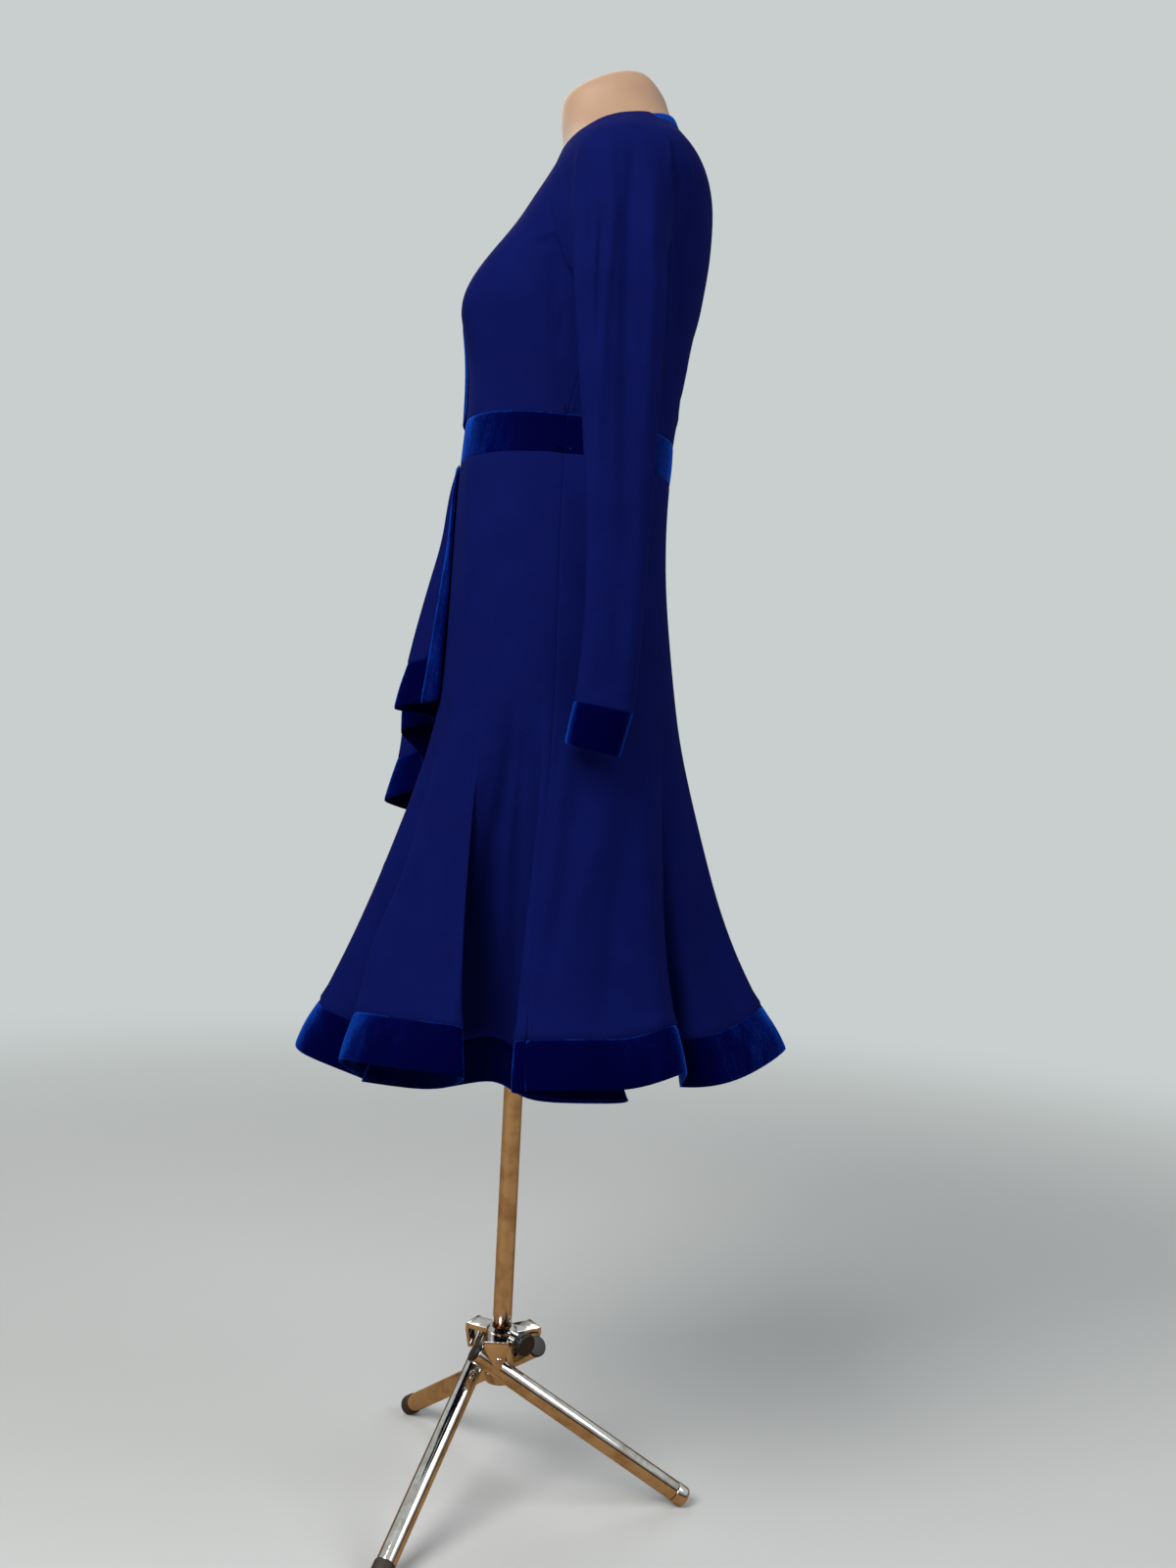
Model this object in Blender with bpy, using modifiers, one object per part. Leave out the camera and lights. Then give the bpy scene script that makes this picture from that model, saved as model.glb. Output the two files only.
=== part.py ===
"""Ballroom dance dress worn by a limbless dress form on a tripod stand.

Metres, +Z up. The dress faces -Y and its left side is +X. The floor is z = 0.
Lengths along Y in the tables are measured from the pole's axis, and the whole
part is then moved so that its box is centred over the origin.
Angles go round the figure in plan: 0 at its left side, -90 at its front, 90 at its back.
"""
import math

import bmesh
import bpy
from mathutils import Vector

# Cloth and fit
CREPE_WALL = 0.0014
VELVET_WALL = 0.0018
BAND_WALL = 0.0022
CLEAR = 0.0006          # cloth's inner face to the figure
HIP_CLEAR = 0.0012      # and on its hips, where the skirt's folds lie across it
FORM_INSET = 0.0014     # how far the hard form lies inside the figure the cloth is laid on
SEAM = 0.0003           # gap between two pieces at a seam
LAP = 0.002             # how far the bodice runs under a raglan seam
STEEPEST_SEAM = 0.4     # the least slant that a trimmed seam allows for
TOUCH = 0.0003          # gap between hard pieces that meet

# Where the part stands
POLE_Y = -0.0324        # the pole's axis, from the middle of the part's box

# Dress form
FORM_BOTTOM = 0.960
NECK_TOP = 1.6075
SQUARENESS = 0.88       # 1 is an ellipse in plan, less is fuller at the corners
BUST_X = 0.070
BUST_Z = 1.368
BUST_OUT = 0.017
BUST_WIDE = 0.050
BUST_HIGH = 0.052
BUST_START = 1.6        # the bust is whole from this much of the way round to the front

# Dress levels
HIP_Z = 0.930           # the flutes start here
UNDERARM_Z = 1.345
UNDERARM_ANGLE = 10.0   # the side seam leans back by this much on its way up
BAND_START = 0.885      # share of the fall from the hip at which the velvet band begins
CUFF_TOP = 0.914
CUFF_BOTTOM = 0.870

# Columns of the grids
BODICE_COLUMNS = 18
SLEEVE_COLUMNS = 18
FORM_COLUMNS = 32
STEPS_PER_FOLD = 2
ROUND_STEPS = 16        # facets round a leg, a foot or the knob
POLE_STEPS = 24

# Stand
POLE_RADIUS = 0.0110
POLE_BOTTOM = 0.1403
FLANGE_RADIUS = 0.045
FLANGE_THICK = 0.004
COLLAR_RADIUS = 0.0150
COLLAR_LENGTH = 0.026
SOCKET_TOP = 0.198
LEG_RADIUS = 0.0110
LEG_SIDE = 0.031        # a leg's upper end, beside the pole
LEG_BEHIND = 0.026      # and past it
LEG_TOP_Z = 0.177
FOOT_Z = 0.0078
LEG_EDGE = 0.0006       # the tube's rounded end
CAP_LENGTH = 0.016
KNOB_ANGLE = 44.0
KNOB_Z = 0.188
KNOB_START = 0.0305     # the knob's inner face, from the pole's axis
BOSS_RADIUS = 0.0085
BOSS_START = 0.013
SOCKET = (              # radius and height, from the bottom of the pole's socket
    (0.0, 0.1400), (POLE_RADIUS + 0.0003, 0.1400), (POLE_RADIUS + 0.0003, SOCKET_TOP),
    (0.0140, SOCKET_TOP), (0.0175, 0.1940), (0.0185, 0.1860), (0.0162, 0.1760), (0.0160, 0.1500),
    (0.0185, 0.1465), (0.0185, 0.1370), (0.0165, 0.1345), (0.0, 0.1345),
)
CAP = (                 # radius and height, from the foot cap's floor end
    (0.0, CAP_LENGTH), (0.0081, CAP_LENGTH), (0.0111, 0.0148), (0.0121, 0.0130), (0.0121, 0.0008),
    (0.0115, 0.0), (0.0, 0.0),
)
PLUG = (                # radius and height, from the leg's upper end
    (0.0, -TOUCH), (0.0116, -TOUCH), (0.0116, -0.0038), (0.0106, -0.0048), (0.0, -0.0048),
)
KNOB = (                # radius and distance, from the knob's inner face
    (0.0, 0.0150), (0.0102, 0.0150), (0.0127, 0.0130), (0.0132, 0.0100), (0.0122, 0.0040),
    (0.0070, 0.0), (0.0, 0.0),
)
CHEEK_OUTLINE = (       # along the leg and height
    (-0.017, 0.1945), (0.010, 0.1945), (0.010, 0.1860), (0.003, 0.1640), (-0.003, 0.1640),
    (-0.017, 0.1870),
)
CHEEK_IN = 0.0395       # the cheek's faces, beside the pole
CHEEK_OUT = 0.0430
BRIDGE_IN = 0.012
BRIDGE_BOTTOM = 0.1887  # clears the leg's end
BRIDGE_TOP = 0.1940
BRIDGE_ENDS = (-0.0165, 0.0095)


class Table:
    """A short table with named columns, read smoothly between its rows."""

    def __init__(self, columns, rows):
        self.columns = columns
        self.rows = rows

    def column(self, name):
        place = self.columns.index(name)
        return [row[place] for row in self.rows]

    def at(self, key, name):
        keys = self.column(self.columns[0])
        values = self.column(name)
        if key <= keys[0]:
            return values[0]
        if key >= keys[-1]:
            return values[-1]
        low = max(i for i in range(len(keys) - 1) if keys[i] <= key)
        step = keys[low + 1] - keys[low]
        share = (key - keys[low]) / step
        start = row_slope(keys, values, low) * step
        end = row_slope(keys, values, low + 1) * step
        square, cube = share ** 2, share ** 3
        return (values[low] * (2 * cube - 3 * square + 1) + start * (cube - 2 * square + share)
                + values[low + 1] * (3 * square - 2 * cube) + end * (cube - square))


def row_slope(keys, values, row):
    """Slope at a row that never lets the curve overshoot its rows."""
    if row in (0, len(keys) - 1):
        return 0.0
    before = (values[row] - values[row - 1]) / (keys[row] - keys[row - 1])
    after = (values[row + 1] - values[row]) / (keys[row + 1] - keys[row])
    if before * after <= 0:
        return 0.0
    return 2 * before * after / (before + after)


FIGURE = Table(
    ("z", "front", "back", "half_width", "side_y"),
    (
        (0.960, -0.0850, 0.1350, 0.160, 0.028),
        (1.020, -0.0920, 0.1400, 0.166, 0.028),
        (1.080, -0.0960, 0.1425, 0.162, 0.027),
        (1.150, -0.0955, 0.1420, 0.145, 0.026),
        (1.200, -0.0930, 0.1465, 0.132, 0.027),
        (1.225, -0.0910, 0.1465, 0.128, 0.028),
        (1.280, -0.0875, 0.1540, 0.134, 0.032),
        (1.324, -0.0900, 0.1600, 0.142, 0.042),
        (1.352, -0.0915, 0.1645, 0.148, 0.052),
        (1.373, -0.0885, 0.1700, 0.150, 0.057),
        (1.399, -0.0790, 0.1735, 0.152, 0.063),
        (1.423, -0.0660, 0.1770, 0.155, 0.068),
        (1.453, -0.0445, 0.1790, 0.160, 0.074),
        (1.482, -0.0275, 0.1790, 0.166, 0.079),
        (1.496, -0.0175, 0.1775, 0.167, 0.081),
        (1.526, -0.0010, 0.1685, 0.156, 0.084),
        (1.546, 0.0070, 0.1580, 0.130, 0.084),
        (1.563, 0.0040, 0.1480, 0.100, 0.082),
        (1.5825, -0.0008, 0.1365, 0.070, 0.074),
        (1.6075, -0.0016, 0.1260, 0.057, 0.063),
    ),
)

HANG = Table(
    ("z", "front", "back", "half_width", "side_y"),
    (
        (0.930, -0.1018, 0.1625, 0.1710, 0.030),
        (0.985, -0.1000, 0.1550, 0.1705, 0.029),
        (1.043, -0.0977, 0.1470, 0.1680, 0.028),
        (1.085, -0.0972, 0.1440, 0.1630, 0.027),
        (1.130, -0.0968, 0.1428, 0.1510, 0.0265),
        (1.190, -0.0930, 0.1432, 0.1350, 0.027),
    ),
)

# The raglan seams on the figure, and how far the limp sleeve stands away from it
RAGLAN = Table(
    ("z", "front", "back", "stand_away"),
    (
        (1.345, 10.0, 10.0, 1.0),
        (1.352, 2.0, 15.0, 1.0),
        (1.371, -10.0, 21.0, 0.97),
        (1.413, -21.0, 31.0, 0.86),
        (1.451, -34.0, 39.5, 0.68),
        (1.4865, -48.0, 41.5, 0.44),
        (1.520, -58.0, 34.0, 0.16),
        (1.545, -66.0, 26.0, 0.0),
        (1.566, -70.0, 21.0, 0.0),
        (1.586, -72.0, 19.0, 0.0),
    ),
)

# Rows of the yoke at the front seam and the back seam; lap is its extra gap over the bodice,
# and late is how long a row waits before it rises toward the back
YOKE_ROWS = Table(
    ("row", "front", "back", "lap", "late"),
    (
        (0, 1.345, 1.345, 0.0012, 0.8),
        (1, 1.354, 1.354, 0.0012, 0.8),
        (2, 1.372, 1.372, 0.0006, 0.8),
        (3, 1.396, 1.397, 0.0002, 0.8),
        (4, 1.423, 1.426, 0.0002, 0.8),
        (5, 1.450, 1.455, 0.0002, 0.8),
        (6, 1.477, 1.484, 0.0002, 0.8),
        (7, 1.4935, 1.503, 0.0002, 0.8),
        (8, 1.5065, 1.519, 0.0002, 0.95),
        (9, 1.518, 1.537, 0.0002, 1.3),
        (10, 1.5275, 1.5665, 0.0002, 1.9),
        (11, 1.5355, 1.577, 0.0002, 2.4),
    ),
)
BACK_BAND_ROW = 10
BODICE_LEVELS = (1.262, 1.294, 1.322, UNDERARM_Z)
BELT_Z = 1.205
NECK_RISE = {"front": 0.002, "back": 0.016}     # the neckline's middle above its ends
NECK_RISE_Z = 1.500     # the rows begin to bend toward it here
NECK_STAND = 0.002      # the band's upper edge leans this far from the neck at the back

# The sleeve's tube, outside sizes; tilt is its lower rim's drop toward the back
SLEEVE = Table(
    ("z", "x", "y", "width", "depth", "tilt", "crease"),
    (
        (0.870, 0.1990, 0.0720, 0.0590, 0.036, -0.21, 0.0000),
        (0.914, 0.1995, 0.0812, 0.0625, 0.038, -0.16, 0.0020),
        (1.017, 0.1995, 0.0876, 0.0610, 0.040, -0.04, 0.0040),
        (1.100, 0.1980, 0.0875, 0.0670, 0.044, 0.00, 0.0050),
        (1.220, 0.1945, 0.0830, 0.0810, 0.052, 0.00, 0.0070),
        (1.338, 0.1905, 0.0780, 0.0955, 0.060, 0.00, 0.0085),
        (1.439, 0.1890, 0.0750, 0.0970, 0.058, 0.00, 0.0090),
        (1.560, 0.1870, 0.0780, 0.0940, 0.050, 0.00, 0.0040),
    ),
)
SLEEVE_ROWS = (0.914, 0.955, 1.017, 1.090, 1.160, 1.230, 1.300)
SLEEVE_SQUARENESS = 0.85
UNDERARM_STEP = 0.004   # the tube's last closed row, below the underarm
CREASE_WIDE = 0.009     # half width of the long trough down the sleeve
CREASE_PLACE = 0.12     # its place behind the tube's middle, as a share of the width
SEAM_REACH = 0.28       # share of the yoke's width over which it bends to a raglan seam
YOKE_LOOSE = 0.0012     # how far the yoke clears the bodice between its seams
YOKE_EASE = 0.125       # share of the yoke's width over which it gets there

# Left half of the hem: one row a fold, from the middle of the front to the middle of the back
HEM = Table(
    ("row", "x", "y", "rim_z", "hip_angle"),
    (
        (0, 0.0000, -0.2330, 0.5130, -90.0),    # middle front
        (1, 0.0350, -0.2441, 0.5260, -84.0),    # front flute
        (2, 0.0920, -0.2320, 0.5215, -77.0),    # its corner
        (3, 0.1080, -0.1500, 0.4980, -69.0),    # front seam, in a valley
        (4, 0.1680, -0.1840, 0.5360, -62.0),    # second flute's corner
        (5, 0.2290, -0.1100, 0.5410, -51.0),    # second flute
        (6, 0.2430, -0.0370, 0.5390, -39.0),    # its folded edge
        (7, 0.2120, -0.0640, 0.5180, -32.5),    # fold running back
        (8, 0.1580, -0.1220, 0.5060, -26.0),    # inner layer of the tuck
        (9, 0.1310, -0.1330, 0.5010, -21.5),    # end of the tuck, the under layer starts
        (10, 0.1200, -0.0850, 0.4950, -19.0),   # under layer
        (11, 0.1200, -0.0160, 0.5110, -15.5),   # notch between the flutes
        (12, 0.1310, 0.0240, 0.4905, -12.5),    # second under layer
        (13, 0.1500, 0.1180, 0.4980, -9.0),     # its end
        (14, 0.1720, 0.1300, 0.5075, -7.0),     # end of the tuck
        (15, 0.2130, 0.0600, 0.5140, -4.0),     # fold running forward
        (16, 0.2480, 0.0060, 0.5270, -1.6),     # third flute's edge
        (17, 0.2560, 0.0220, 0.5300, 0.0),      # side seam
        (18, 0.2620, 0.0700, 0.5350, 13.0),     # third flute
        (19, 0.2360, 0.1290, 0.5325, 30.0),     # its back half
        (20, 0.1980, 0.1865, 0.5470, 46.0),     # its corner
        (21, 0.1330, 0.1830, 0.5140, 60.0),     # back seam, in a valley
        (22, 0.1450, 0.2150, 0.5190, 67.0),     # back flute's corner
        (23, 0.1080, 0.2580, 0.5250, 76.0),     # its side
        (24, 0.0400, 0.3088, 0.5430, 85.0),     # back flute
        (25, 0.0000, 0.3000, 0.5360, 90.0),     # middle back
    ),
)
FRONT_SEAM, SIDE_SEAM, BACK_SEAM = 3, 17, 21

# How a fold spreads from the hip to the hem
SPREAD = Table(
    ("fall", "spread"),
    ((0.0, 0.0), (0.20, 0.105), (0.365, 0.245), (0.55, 0.405), (0.65, 0.505),
     (0.74, 0.615), (0.85, 0.750), (0.90, 0.845), (1.0, 1.0)),
)
SWAY = 0.0045           # the flutes lean forward by this much a little below their middle
SKIRT_FREE_Z = 1.030    # below this the skirt hangs clear of the hips
SKIRT_SNUG_Z = 1.170    # and above this it lies close on them
SKIRT_LEVELS = (1.130, 1.060, 0.990, 0.930)
SKIRT_FALLS = (0.15, 0.30, 0.46, 0.62, 0.76, BAND_START)
BAND_FALLS = (0.945, 1.0)

# The cascade: forward is how far a fold comes out, 0 on the skirt and 1 on the outline
CASCADE = Table(
    ("across", "hem_x", "top_x", "hem_z", "forward"),
    (
        (0.00, 0.060, 0.0300, 0.9170, 0.06),
        (0.05, 0.053, 0.0275, 0.9130, 0.45),
        (0.11, 0.042, 0.0230, 0.9060, 1.00),
        (0.19, 0.034, 0.0180, 0.9020, 0.55),
        (0.26, 0.028, 0.0130, 0.8980, 0.06),
        (0.32, 0.018, 0.0090, 0.8930, 0.06),
        (0.39, 0.010, 0.0045, 0.8870, 0.60),
        (0.46, 0.000, 0.0000, 0.8800, 0.92),
        (0.54, -0.009, -0.0060, 0.8620, 0.45),
        (0.60, -0.014, -0.0100, 0.8420, 0.05),
        (0.66, -0.024, -0.0145, 0.8180, 0.05),
        (0.76, -0.034, -0.0200, 0.8040, 0.60),
        (0.85, -0.050, -0.0260, 0.7970, 1.00),
        (0.93, -0.063, -0.0320, 0.7880, 0.55),
        (1.00, -0.074, -0.0380, 0.7800, 0.12),
    ),
)
CASCADE_OUTLINE = Table(
    ("z", "y"),
    ((0.7795, -0.1690), (0.797, -0.1745), (0.844, -0.1610), (0.881, -0.1560), (0.906, -0.1576),
     (0.9575, -0.1445), (0.980, -0.1405), (1.0255, -0.1300), (1.064, -0.1207), (1.100, -0.1115),
     (1.135, -0.1085), (1.164, -0.1045), (1.1865, -0.0975)),
)
CASCADE_TOP = 1.1855
CASCADE_FLARE = 0.9     # below 1 its folds spread early on their way down
CASCADE_CLEAR = 0.0012
CASCADE_SEWN = 0.0003   # its gap to the skirt where it is sewn in under the belt
CASCADE_EASE = 0.125    # share of its length over which that gap opens
CASCADE_SEAM = 0.0007   # a wider gap than SEAM, for its borders run round sharp folds
SIDE_BORDER = 0.045      # share of the cascade taken by its near border
HEM_BORDER = 0.050
BORDER_COLUMNS = 3
CASCADE_COLUMNS = 30
CASCADE_ROWS = 7

STRIP_HALF = 0.012
STRIP = Table(
    ("z", "stand_off"),
    ((1.2345, 0.0020), (1.262, 0.0036), (1.294, 0.0034), (1.322, 0.0018), (1.360, 0.0016),
     (1.5335, 0.0016)),
)

# Belt edges at the front, the side and the back
BELT = Table(
    ("place", "bottom", "top"),
    ((-1, 1.187, 1.234), (0, 1.185, 1.228), (1, 1.176, 1.221)),
)

NECK_DOME = Table(
    ("y", "rise"),
    ((0.001, 0.030), (0.035, 0.036), (0.0855, 0.048), (0.097, 0.049), (0.112, 0.040), (0.125, 0.036)),
)
DOME_SCALES = (0.96, 0.86, 0.70, 0.48, 0.22)
HIP_RINGS = (1.020, 1.060, 1.130, 1.181, BELT_Z, 1.228)     # levels of the hard form
NECK_RINGS = (1.552, 1.567, 1.582)

LEGS = Table(
    ("leg", "foot_x", "foot_y"),
    ((0, 0.000, 0.2215), (1, 0.197, -0.1060), (2, -0.205, -0.1240)),
)
LEG_NAMES = ("back", "left", "right")


# Materials

def make_material(name, colour, roughness, metallic=0.0):
    material = bpy.data.materials.new(name)
    material.use_nodes = True
    shader = material.node_tree.nodes["Principled BSDF"]
    shader.inputs["Base Color"].default_value = (*colour, 1.0)
    shader.inputs["Roughness"].default_value = roughness
    shader.inputs["Metallic"].default_value = metallic
    material.diffuse_color = (*colour, 1.0)
    return material


# Surfaces of the figure

def signed_power(value, power):
    return math.copysign(abs(value) ** power, value)


def section_point(table, angle, z):
    """Point of the plan section at height z."""
    turn = math.radians(angle)
    side_y = table.at(z, "side_y")
    across = signed_power(math.cos(turn), SQUARENESS)
    along = signed_power(math.sin(turn), SQUARENESS)
    reach = side_y - table.at(z, "front") if along < 0 else table.at(z, "back") - side_y
    return Vector((table.at(z, "half_width") * across, side_y + reach * along, z))


def bust(point):
    """How far the bust stands out at a point of the front."""
    high = ((point.z - BUST_Z) / BUST_HIGH) ** 2
    return sum(BUST_OUT * math.exp(-high - ((point.x - side * BUST_X) / BUST_WIDE) ** 2)
               for side in (-1, 1))


def bare_figure_point(angle, z):
    point = section_point(FIGURE, angle, z)
    front = max(0.0, -math.sin(math.radians(angle)))
    point.y -= bust(point) * min(1.0, BUST_START * front)
    return point


def figure_point(angle, z, out=0.0):
    """Point on the figure, moved out along its surface normal."""
    point = bare_figure_point(angle, z)
    if not out:
        return point
    turn, lift = 0.5, 0.002     # short steps round and up
    around = bare_figure_point(angle + turn, z) - bare_figure_point(angle - turn, z)
    up = bare_figure_point(angle, z + lift) - bare_figure_point(angle, z - lift)
    return point + around.cross(up).normalized() * out


def figure_side_x(y, z):
    """The figure's half width at one place of its depth, or nothing past its front or back."""
    side_y = FIGURE.at(z, "side_y")
    reach = side_y - FIGURE.at(z, "front") if y < side_y else FIGURE.at(z, "back") - side_y
    depth = abs(y - side_y) / reach
    if depth >= 1:
        return 0.0
    power = 2 / SQUARENESS
    return FIGURE.at(z, "half_width") * (1 - depth ** power) ** (1 / power)


def belt_edge(angle, edge):
    return BELT.at(math.sin(math.radians(angle)), edge)


# Cloth walls

def grid_faces(rows, columns, closed=False):
    """Faces of a grid whose points are listed row by row."""
    faces = []
    for row in range(rows - 1):
        for column in range(columns if closed else columns - 1):
            beside = (column + 1) % columns
            low, high = row * columns, (row + 1) * columns
            faces.append((low + column, low + beside, high + beside, high + column))
    return faces


def surface_normals(points, faces):
    """Normal at each point, midway between the faces around it."""
    normals = [Vector() for _ in points]
    for face in faces:
        corners = [points[i] for i in face]
        normal = (corners[2] - corners[0]).cross(corners[3] - corners[1]).normalized()
        for i in face:
            normals[i] += normal
    return [normal.normalized() for normal in normals]


def split_face(points, face):
    """Two triangles of a face along its shorter diagonal, so both sides of a wall fold alike."""
    a, b, c, d = face
    if (points[c] - points[a]).length <= (points[d] - points[b]).length:
        return (a, b, c), (a, c, d)
    return (a, b, d), (b, c, d)


def cloth_wall(name, points, faces, normals, wall, material):
    """A closed wall that stands on the outer side of a surface."""
    shell = bmesh.new()
    used = sorted({i for face in faces for i in face})
    inner = {i: shell.verts.new(points[i]) for i in used}
    outer = {i: shell.verts.new(points[i] + normals[i] * wall) for i in used}
    edges = set()
    for face in faces:
        for corners in split_face(points, face):
            shell.faces.new([inner[i] for i in reversed(corners)])
            shell.faces.new([outer[i] for i in corners])
        edges.update(zip(face, face[1:] + face[:1]))
    for start, end in edges:
        if (end, start) not in edges:
            shell.faces.new((inner[start], inner[end], outer[end], outer[start]))
    bmesh.ops.recalc_face_normals(shell, faces=shell.faces)
    return mesh_object(name, shell, material)


class Surface:
    """A grid of points that several pieces of cloth are cut from.

    The pieces share its normals, so their walls meet square at the seams.
    """

    def __init__(self, points, columns, closed=False):
        self.points = points
        self.columns = columns
        faces = grid_faces(len(points) // columns, columns, closed)
        self.normals = surface_normals(points, faces)

    def level_row(self, row):
        """Make the wall's edge at a row level, where another surface begins."""
        for i in range(row * self.columns, (row + 1) * self.columns):
            self.normals[i].z = 0.0
            self.normals[i].normalize()

    def trimmed_row(self, edge, beside, line, gap):
        """Pull an edge back from its seam by half the gap, measured square to the seam."""
        pulled = []
        for i, point in enumerate(edge):
            along = edge[min(i + 1, len(edge) - 1)] - edge[max(i - 1, 0)]
            square = along.cross(self.normals[line[i]]).normalized()
            inward = (beside[i] - point).normalized()
            slant = max(abs(inward.dot(square)), STEEPEST_SEAM)
            pulled.append(point + inward * gap / 2 / slant)
        return pulled

    def piece(self, name, rows, columns, wall, material, trims="", gap=SEAM):
        """Cut a piece between two rows and two columns; trims names its edges that meet a seam."""
        first, last = columns
        width = last - first + 1
        lines = [[row * self.columns + column % self.columns for column in range(first, last + 1)]
                 for row in range(rows[0], rows[1] + 1)]
        spots = [[self.points[i] for i in line] for line in lines]
        if "first_row" in trims:
            spots[0] = self.trimmed_row(spots[0], spots[1], lines[0], gap)
        if "last_row" in trims:
            spots[-1] = self.trimmed_row(spots[-1], spots[-2], lines[-1], gap)
        for spot in spots:
            if "first_column" in trims:
                spot[0] = nudge(spot[0], spot[1], gap / 2)
            if "last_column" in trims:
                spot[-1] = nudge(spot[-1], spot[-2], gap / 2)
        own = [point for spot in spots for point in spot]
        normals = [self.normals[i] for line in lines for i in line]
        cloth_wall(name, own, grid_faces(len(lines), width), normals, wall, material)


def mesh_object(name, shell, material):
    mesh = bpy.data.meshes.new(name)
    shell.to_mesh(mesh)
    shell.free()
    piece = bpy.data.objects.new(name, mesh)
    return finish_piece(piece, material)


def finish_piece(piece, material, holder="figure_axis"):
    """Give a piece its material, its place in the collection and its holder."""
    if piece.data.materials:
        piece.data.materials[0] = material
    else:
        piece.data.materials.append(material)
    for owner in list(piece.users_collection):
        owner.objects.unlink(piece)
    bpy.data.collections["ballroom_dress"].objects.link(piece)
    piece.parent = bpy.data.objects[holder]
    return piece


def mirrored(points):
    return [Vector((-p.x, p.y, p.z)) for p in points]


def nudge(point, toward, distance):
    return point + (toward - point).normalized() * distance


# Bodice, belt and neck

def seam_angle(z, half):
    """Angle of the side seam up to the underarm, and of that half's raglan seam above it."""
    if z > UNDERARM_Z:
        return RAGLAN.at(z, half)
    return UNDERARM_ANGLE * max(0.0, (z - BELT_Z) / (UNDERARM_Z - BELT_Z)) ** 2


def torso_angles(z, half):
    """Columns of one half of the torso at height z; above the underarm it runs under the sleeves."""
    run_under = LAP if z > UNDERARM_Z else -SEAM / 2
    run_under = math.degrees(run_under / FIGURE.at(z, "half_width"))
    if half == "front":
        middle, reach = -90, 90 + seam_angle(z, half) + run_under
    else:
        middle, reach = 90, 90 - seam_angle(z, half) + run_under
    return [middle + reach * (2 * i / BODICE_COLUMNS - 1) for i in range(BODICE_COLUMNS + 1)]


def torso_surface(half):
    """Half of the torso, front or back: belt rows, then bodice rows up to the neckline."""
    points = []
    for share in (0.0, 0.5, 1.0):
        for angle in torso_angles(BELT_Z, half):
            low, high = belt_edge(angle, "bottom"), belt_edge(angle, "top")
            points.append(figure_point(angle, low + (high - low) * share, CLEAR))
    levels = list(BODICE_LEVELS) + YOKE_ROWS.column(half)[1:]
    for level in levels:
        rise = NECK_RISE[half] * max(0.0, (level - NECK_RISE_Z) / (levels[-1] - NECK_RISE_Z))
        stand = NECK_STAND if half == "back" and level == levels[-1] else 0.0
        for column, angle in enumerate(torso_angles(level, half)):
            middle = 1 - (2 * column / BODICE_COLUMNS - 1) ** 2
            points.append(figure_point(angle, level + rise * middle, CLEAR + stand * middle))
    surface = Surface(points, BODICE_COLUMNS + 1)
    surface.level_row(0)
    return surface


def torso(crepe, velvet):
    """Belt, bodice and neck band, cut from the front and the back of the torso."""
    across = (0, BODICE_COLUMNS)
    belt_top = 2
    last = belt_top + len(BODICE_LEVELS) + len(YOKE_ROWS.rows) - 1
    band = belt_top + len(BODICE_LEVELS) + BACK_BAND_ROW
    front = torso_surface("front")
    front.piece("belt_front", (0, belt_top), across, VELVET_WALL, velvet, "first_row last_row")
    front.piece("bodice_front", (belt_top, last), across, CREPE_WALL, crepe, "first_row")
    back = torso_surface("back")
    back.piece("belt_back", (0, belt_top), across, VELVET_WALL, velvet, "first_row last_row")
    back.piece("bodice_back", (belt_top, band), across, CREPE_WALL, crepe, "first_row last_row")
    back.piece("neck_band", (band, last), across, CREPE_WALL, velvet, "first_row")


def front_strip(material):
    """Narrow velvet strip down the middle of the front; it bridges the hollow under the bust."""
    points = []
    levels = STRIP.column("z")
    levels = [levels[0]] + list(BODICE_LEVELS) + YOKE_ROWS.column("front")[1:-1] + [levels[-1]]
    for z in levels:
        out = CLEAR + CREPE_WALL + STRIP.at(z, "stand_off")
        half = math.degrees(math.asin(STRIP_HALF / FIGURE.at(z, "half_width")))
        points += [figure_point(-90 + half * side, z, out) for side in (-1, 0, 1)]
    faces = grid_faces(len(levels), 3)
    cloth_wall("front_strip", points, faces, surface_normals(points, faces), VELVET_WALL, material)


# Sleeves

def tube_point(z, share, wall):
    """Inner face of the limp sleeve; share goes once round from its inner line, front first."""
    turn = 2 * math.pi * share
    half_y = SLEEVE.at(z, "width") / 2 - wall
    half_x = SLEEVE.at(z, "depth") / 2 - wall
    middle_y = SLEEVE.at(z, "y")
    x = SLEEVE.at(z, "x") - half_x * signed_power(math.cos(turn), SLEEVE_SQUARENESS)
    y = middle_y - half_y * signed_power(math.sin(turn), SLEEVE_SQUARENESS)
    if math.cos(turn) < 0:
        trough = (y - middle_y - CREASE_PLACE * 2 * half_y) / CREASE_WIDE
        x -= SLEEVE.at(z, "crease") * math.exp(-trough ** 2)
    return Vector((x, y, z + SLEEVE.at(z, "tilt") * (y - middle_y)))


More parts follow.
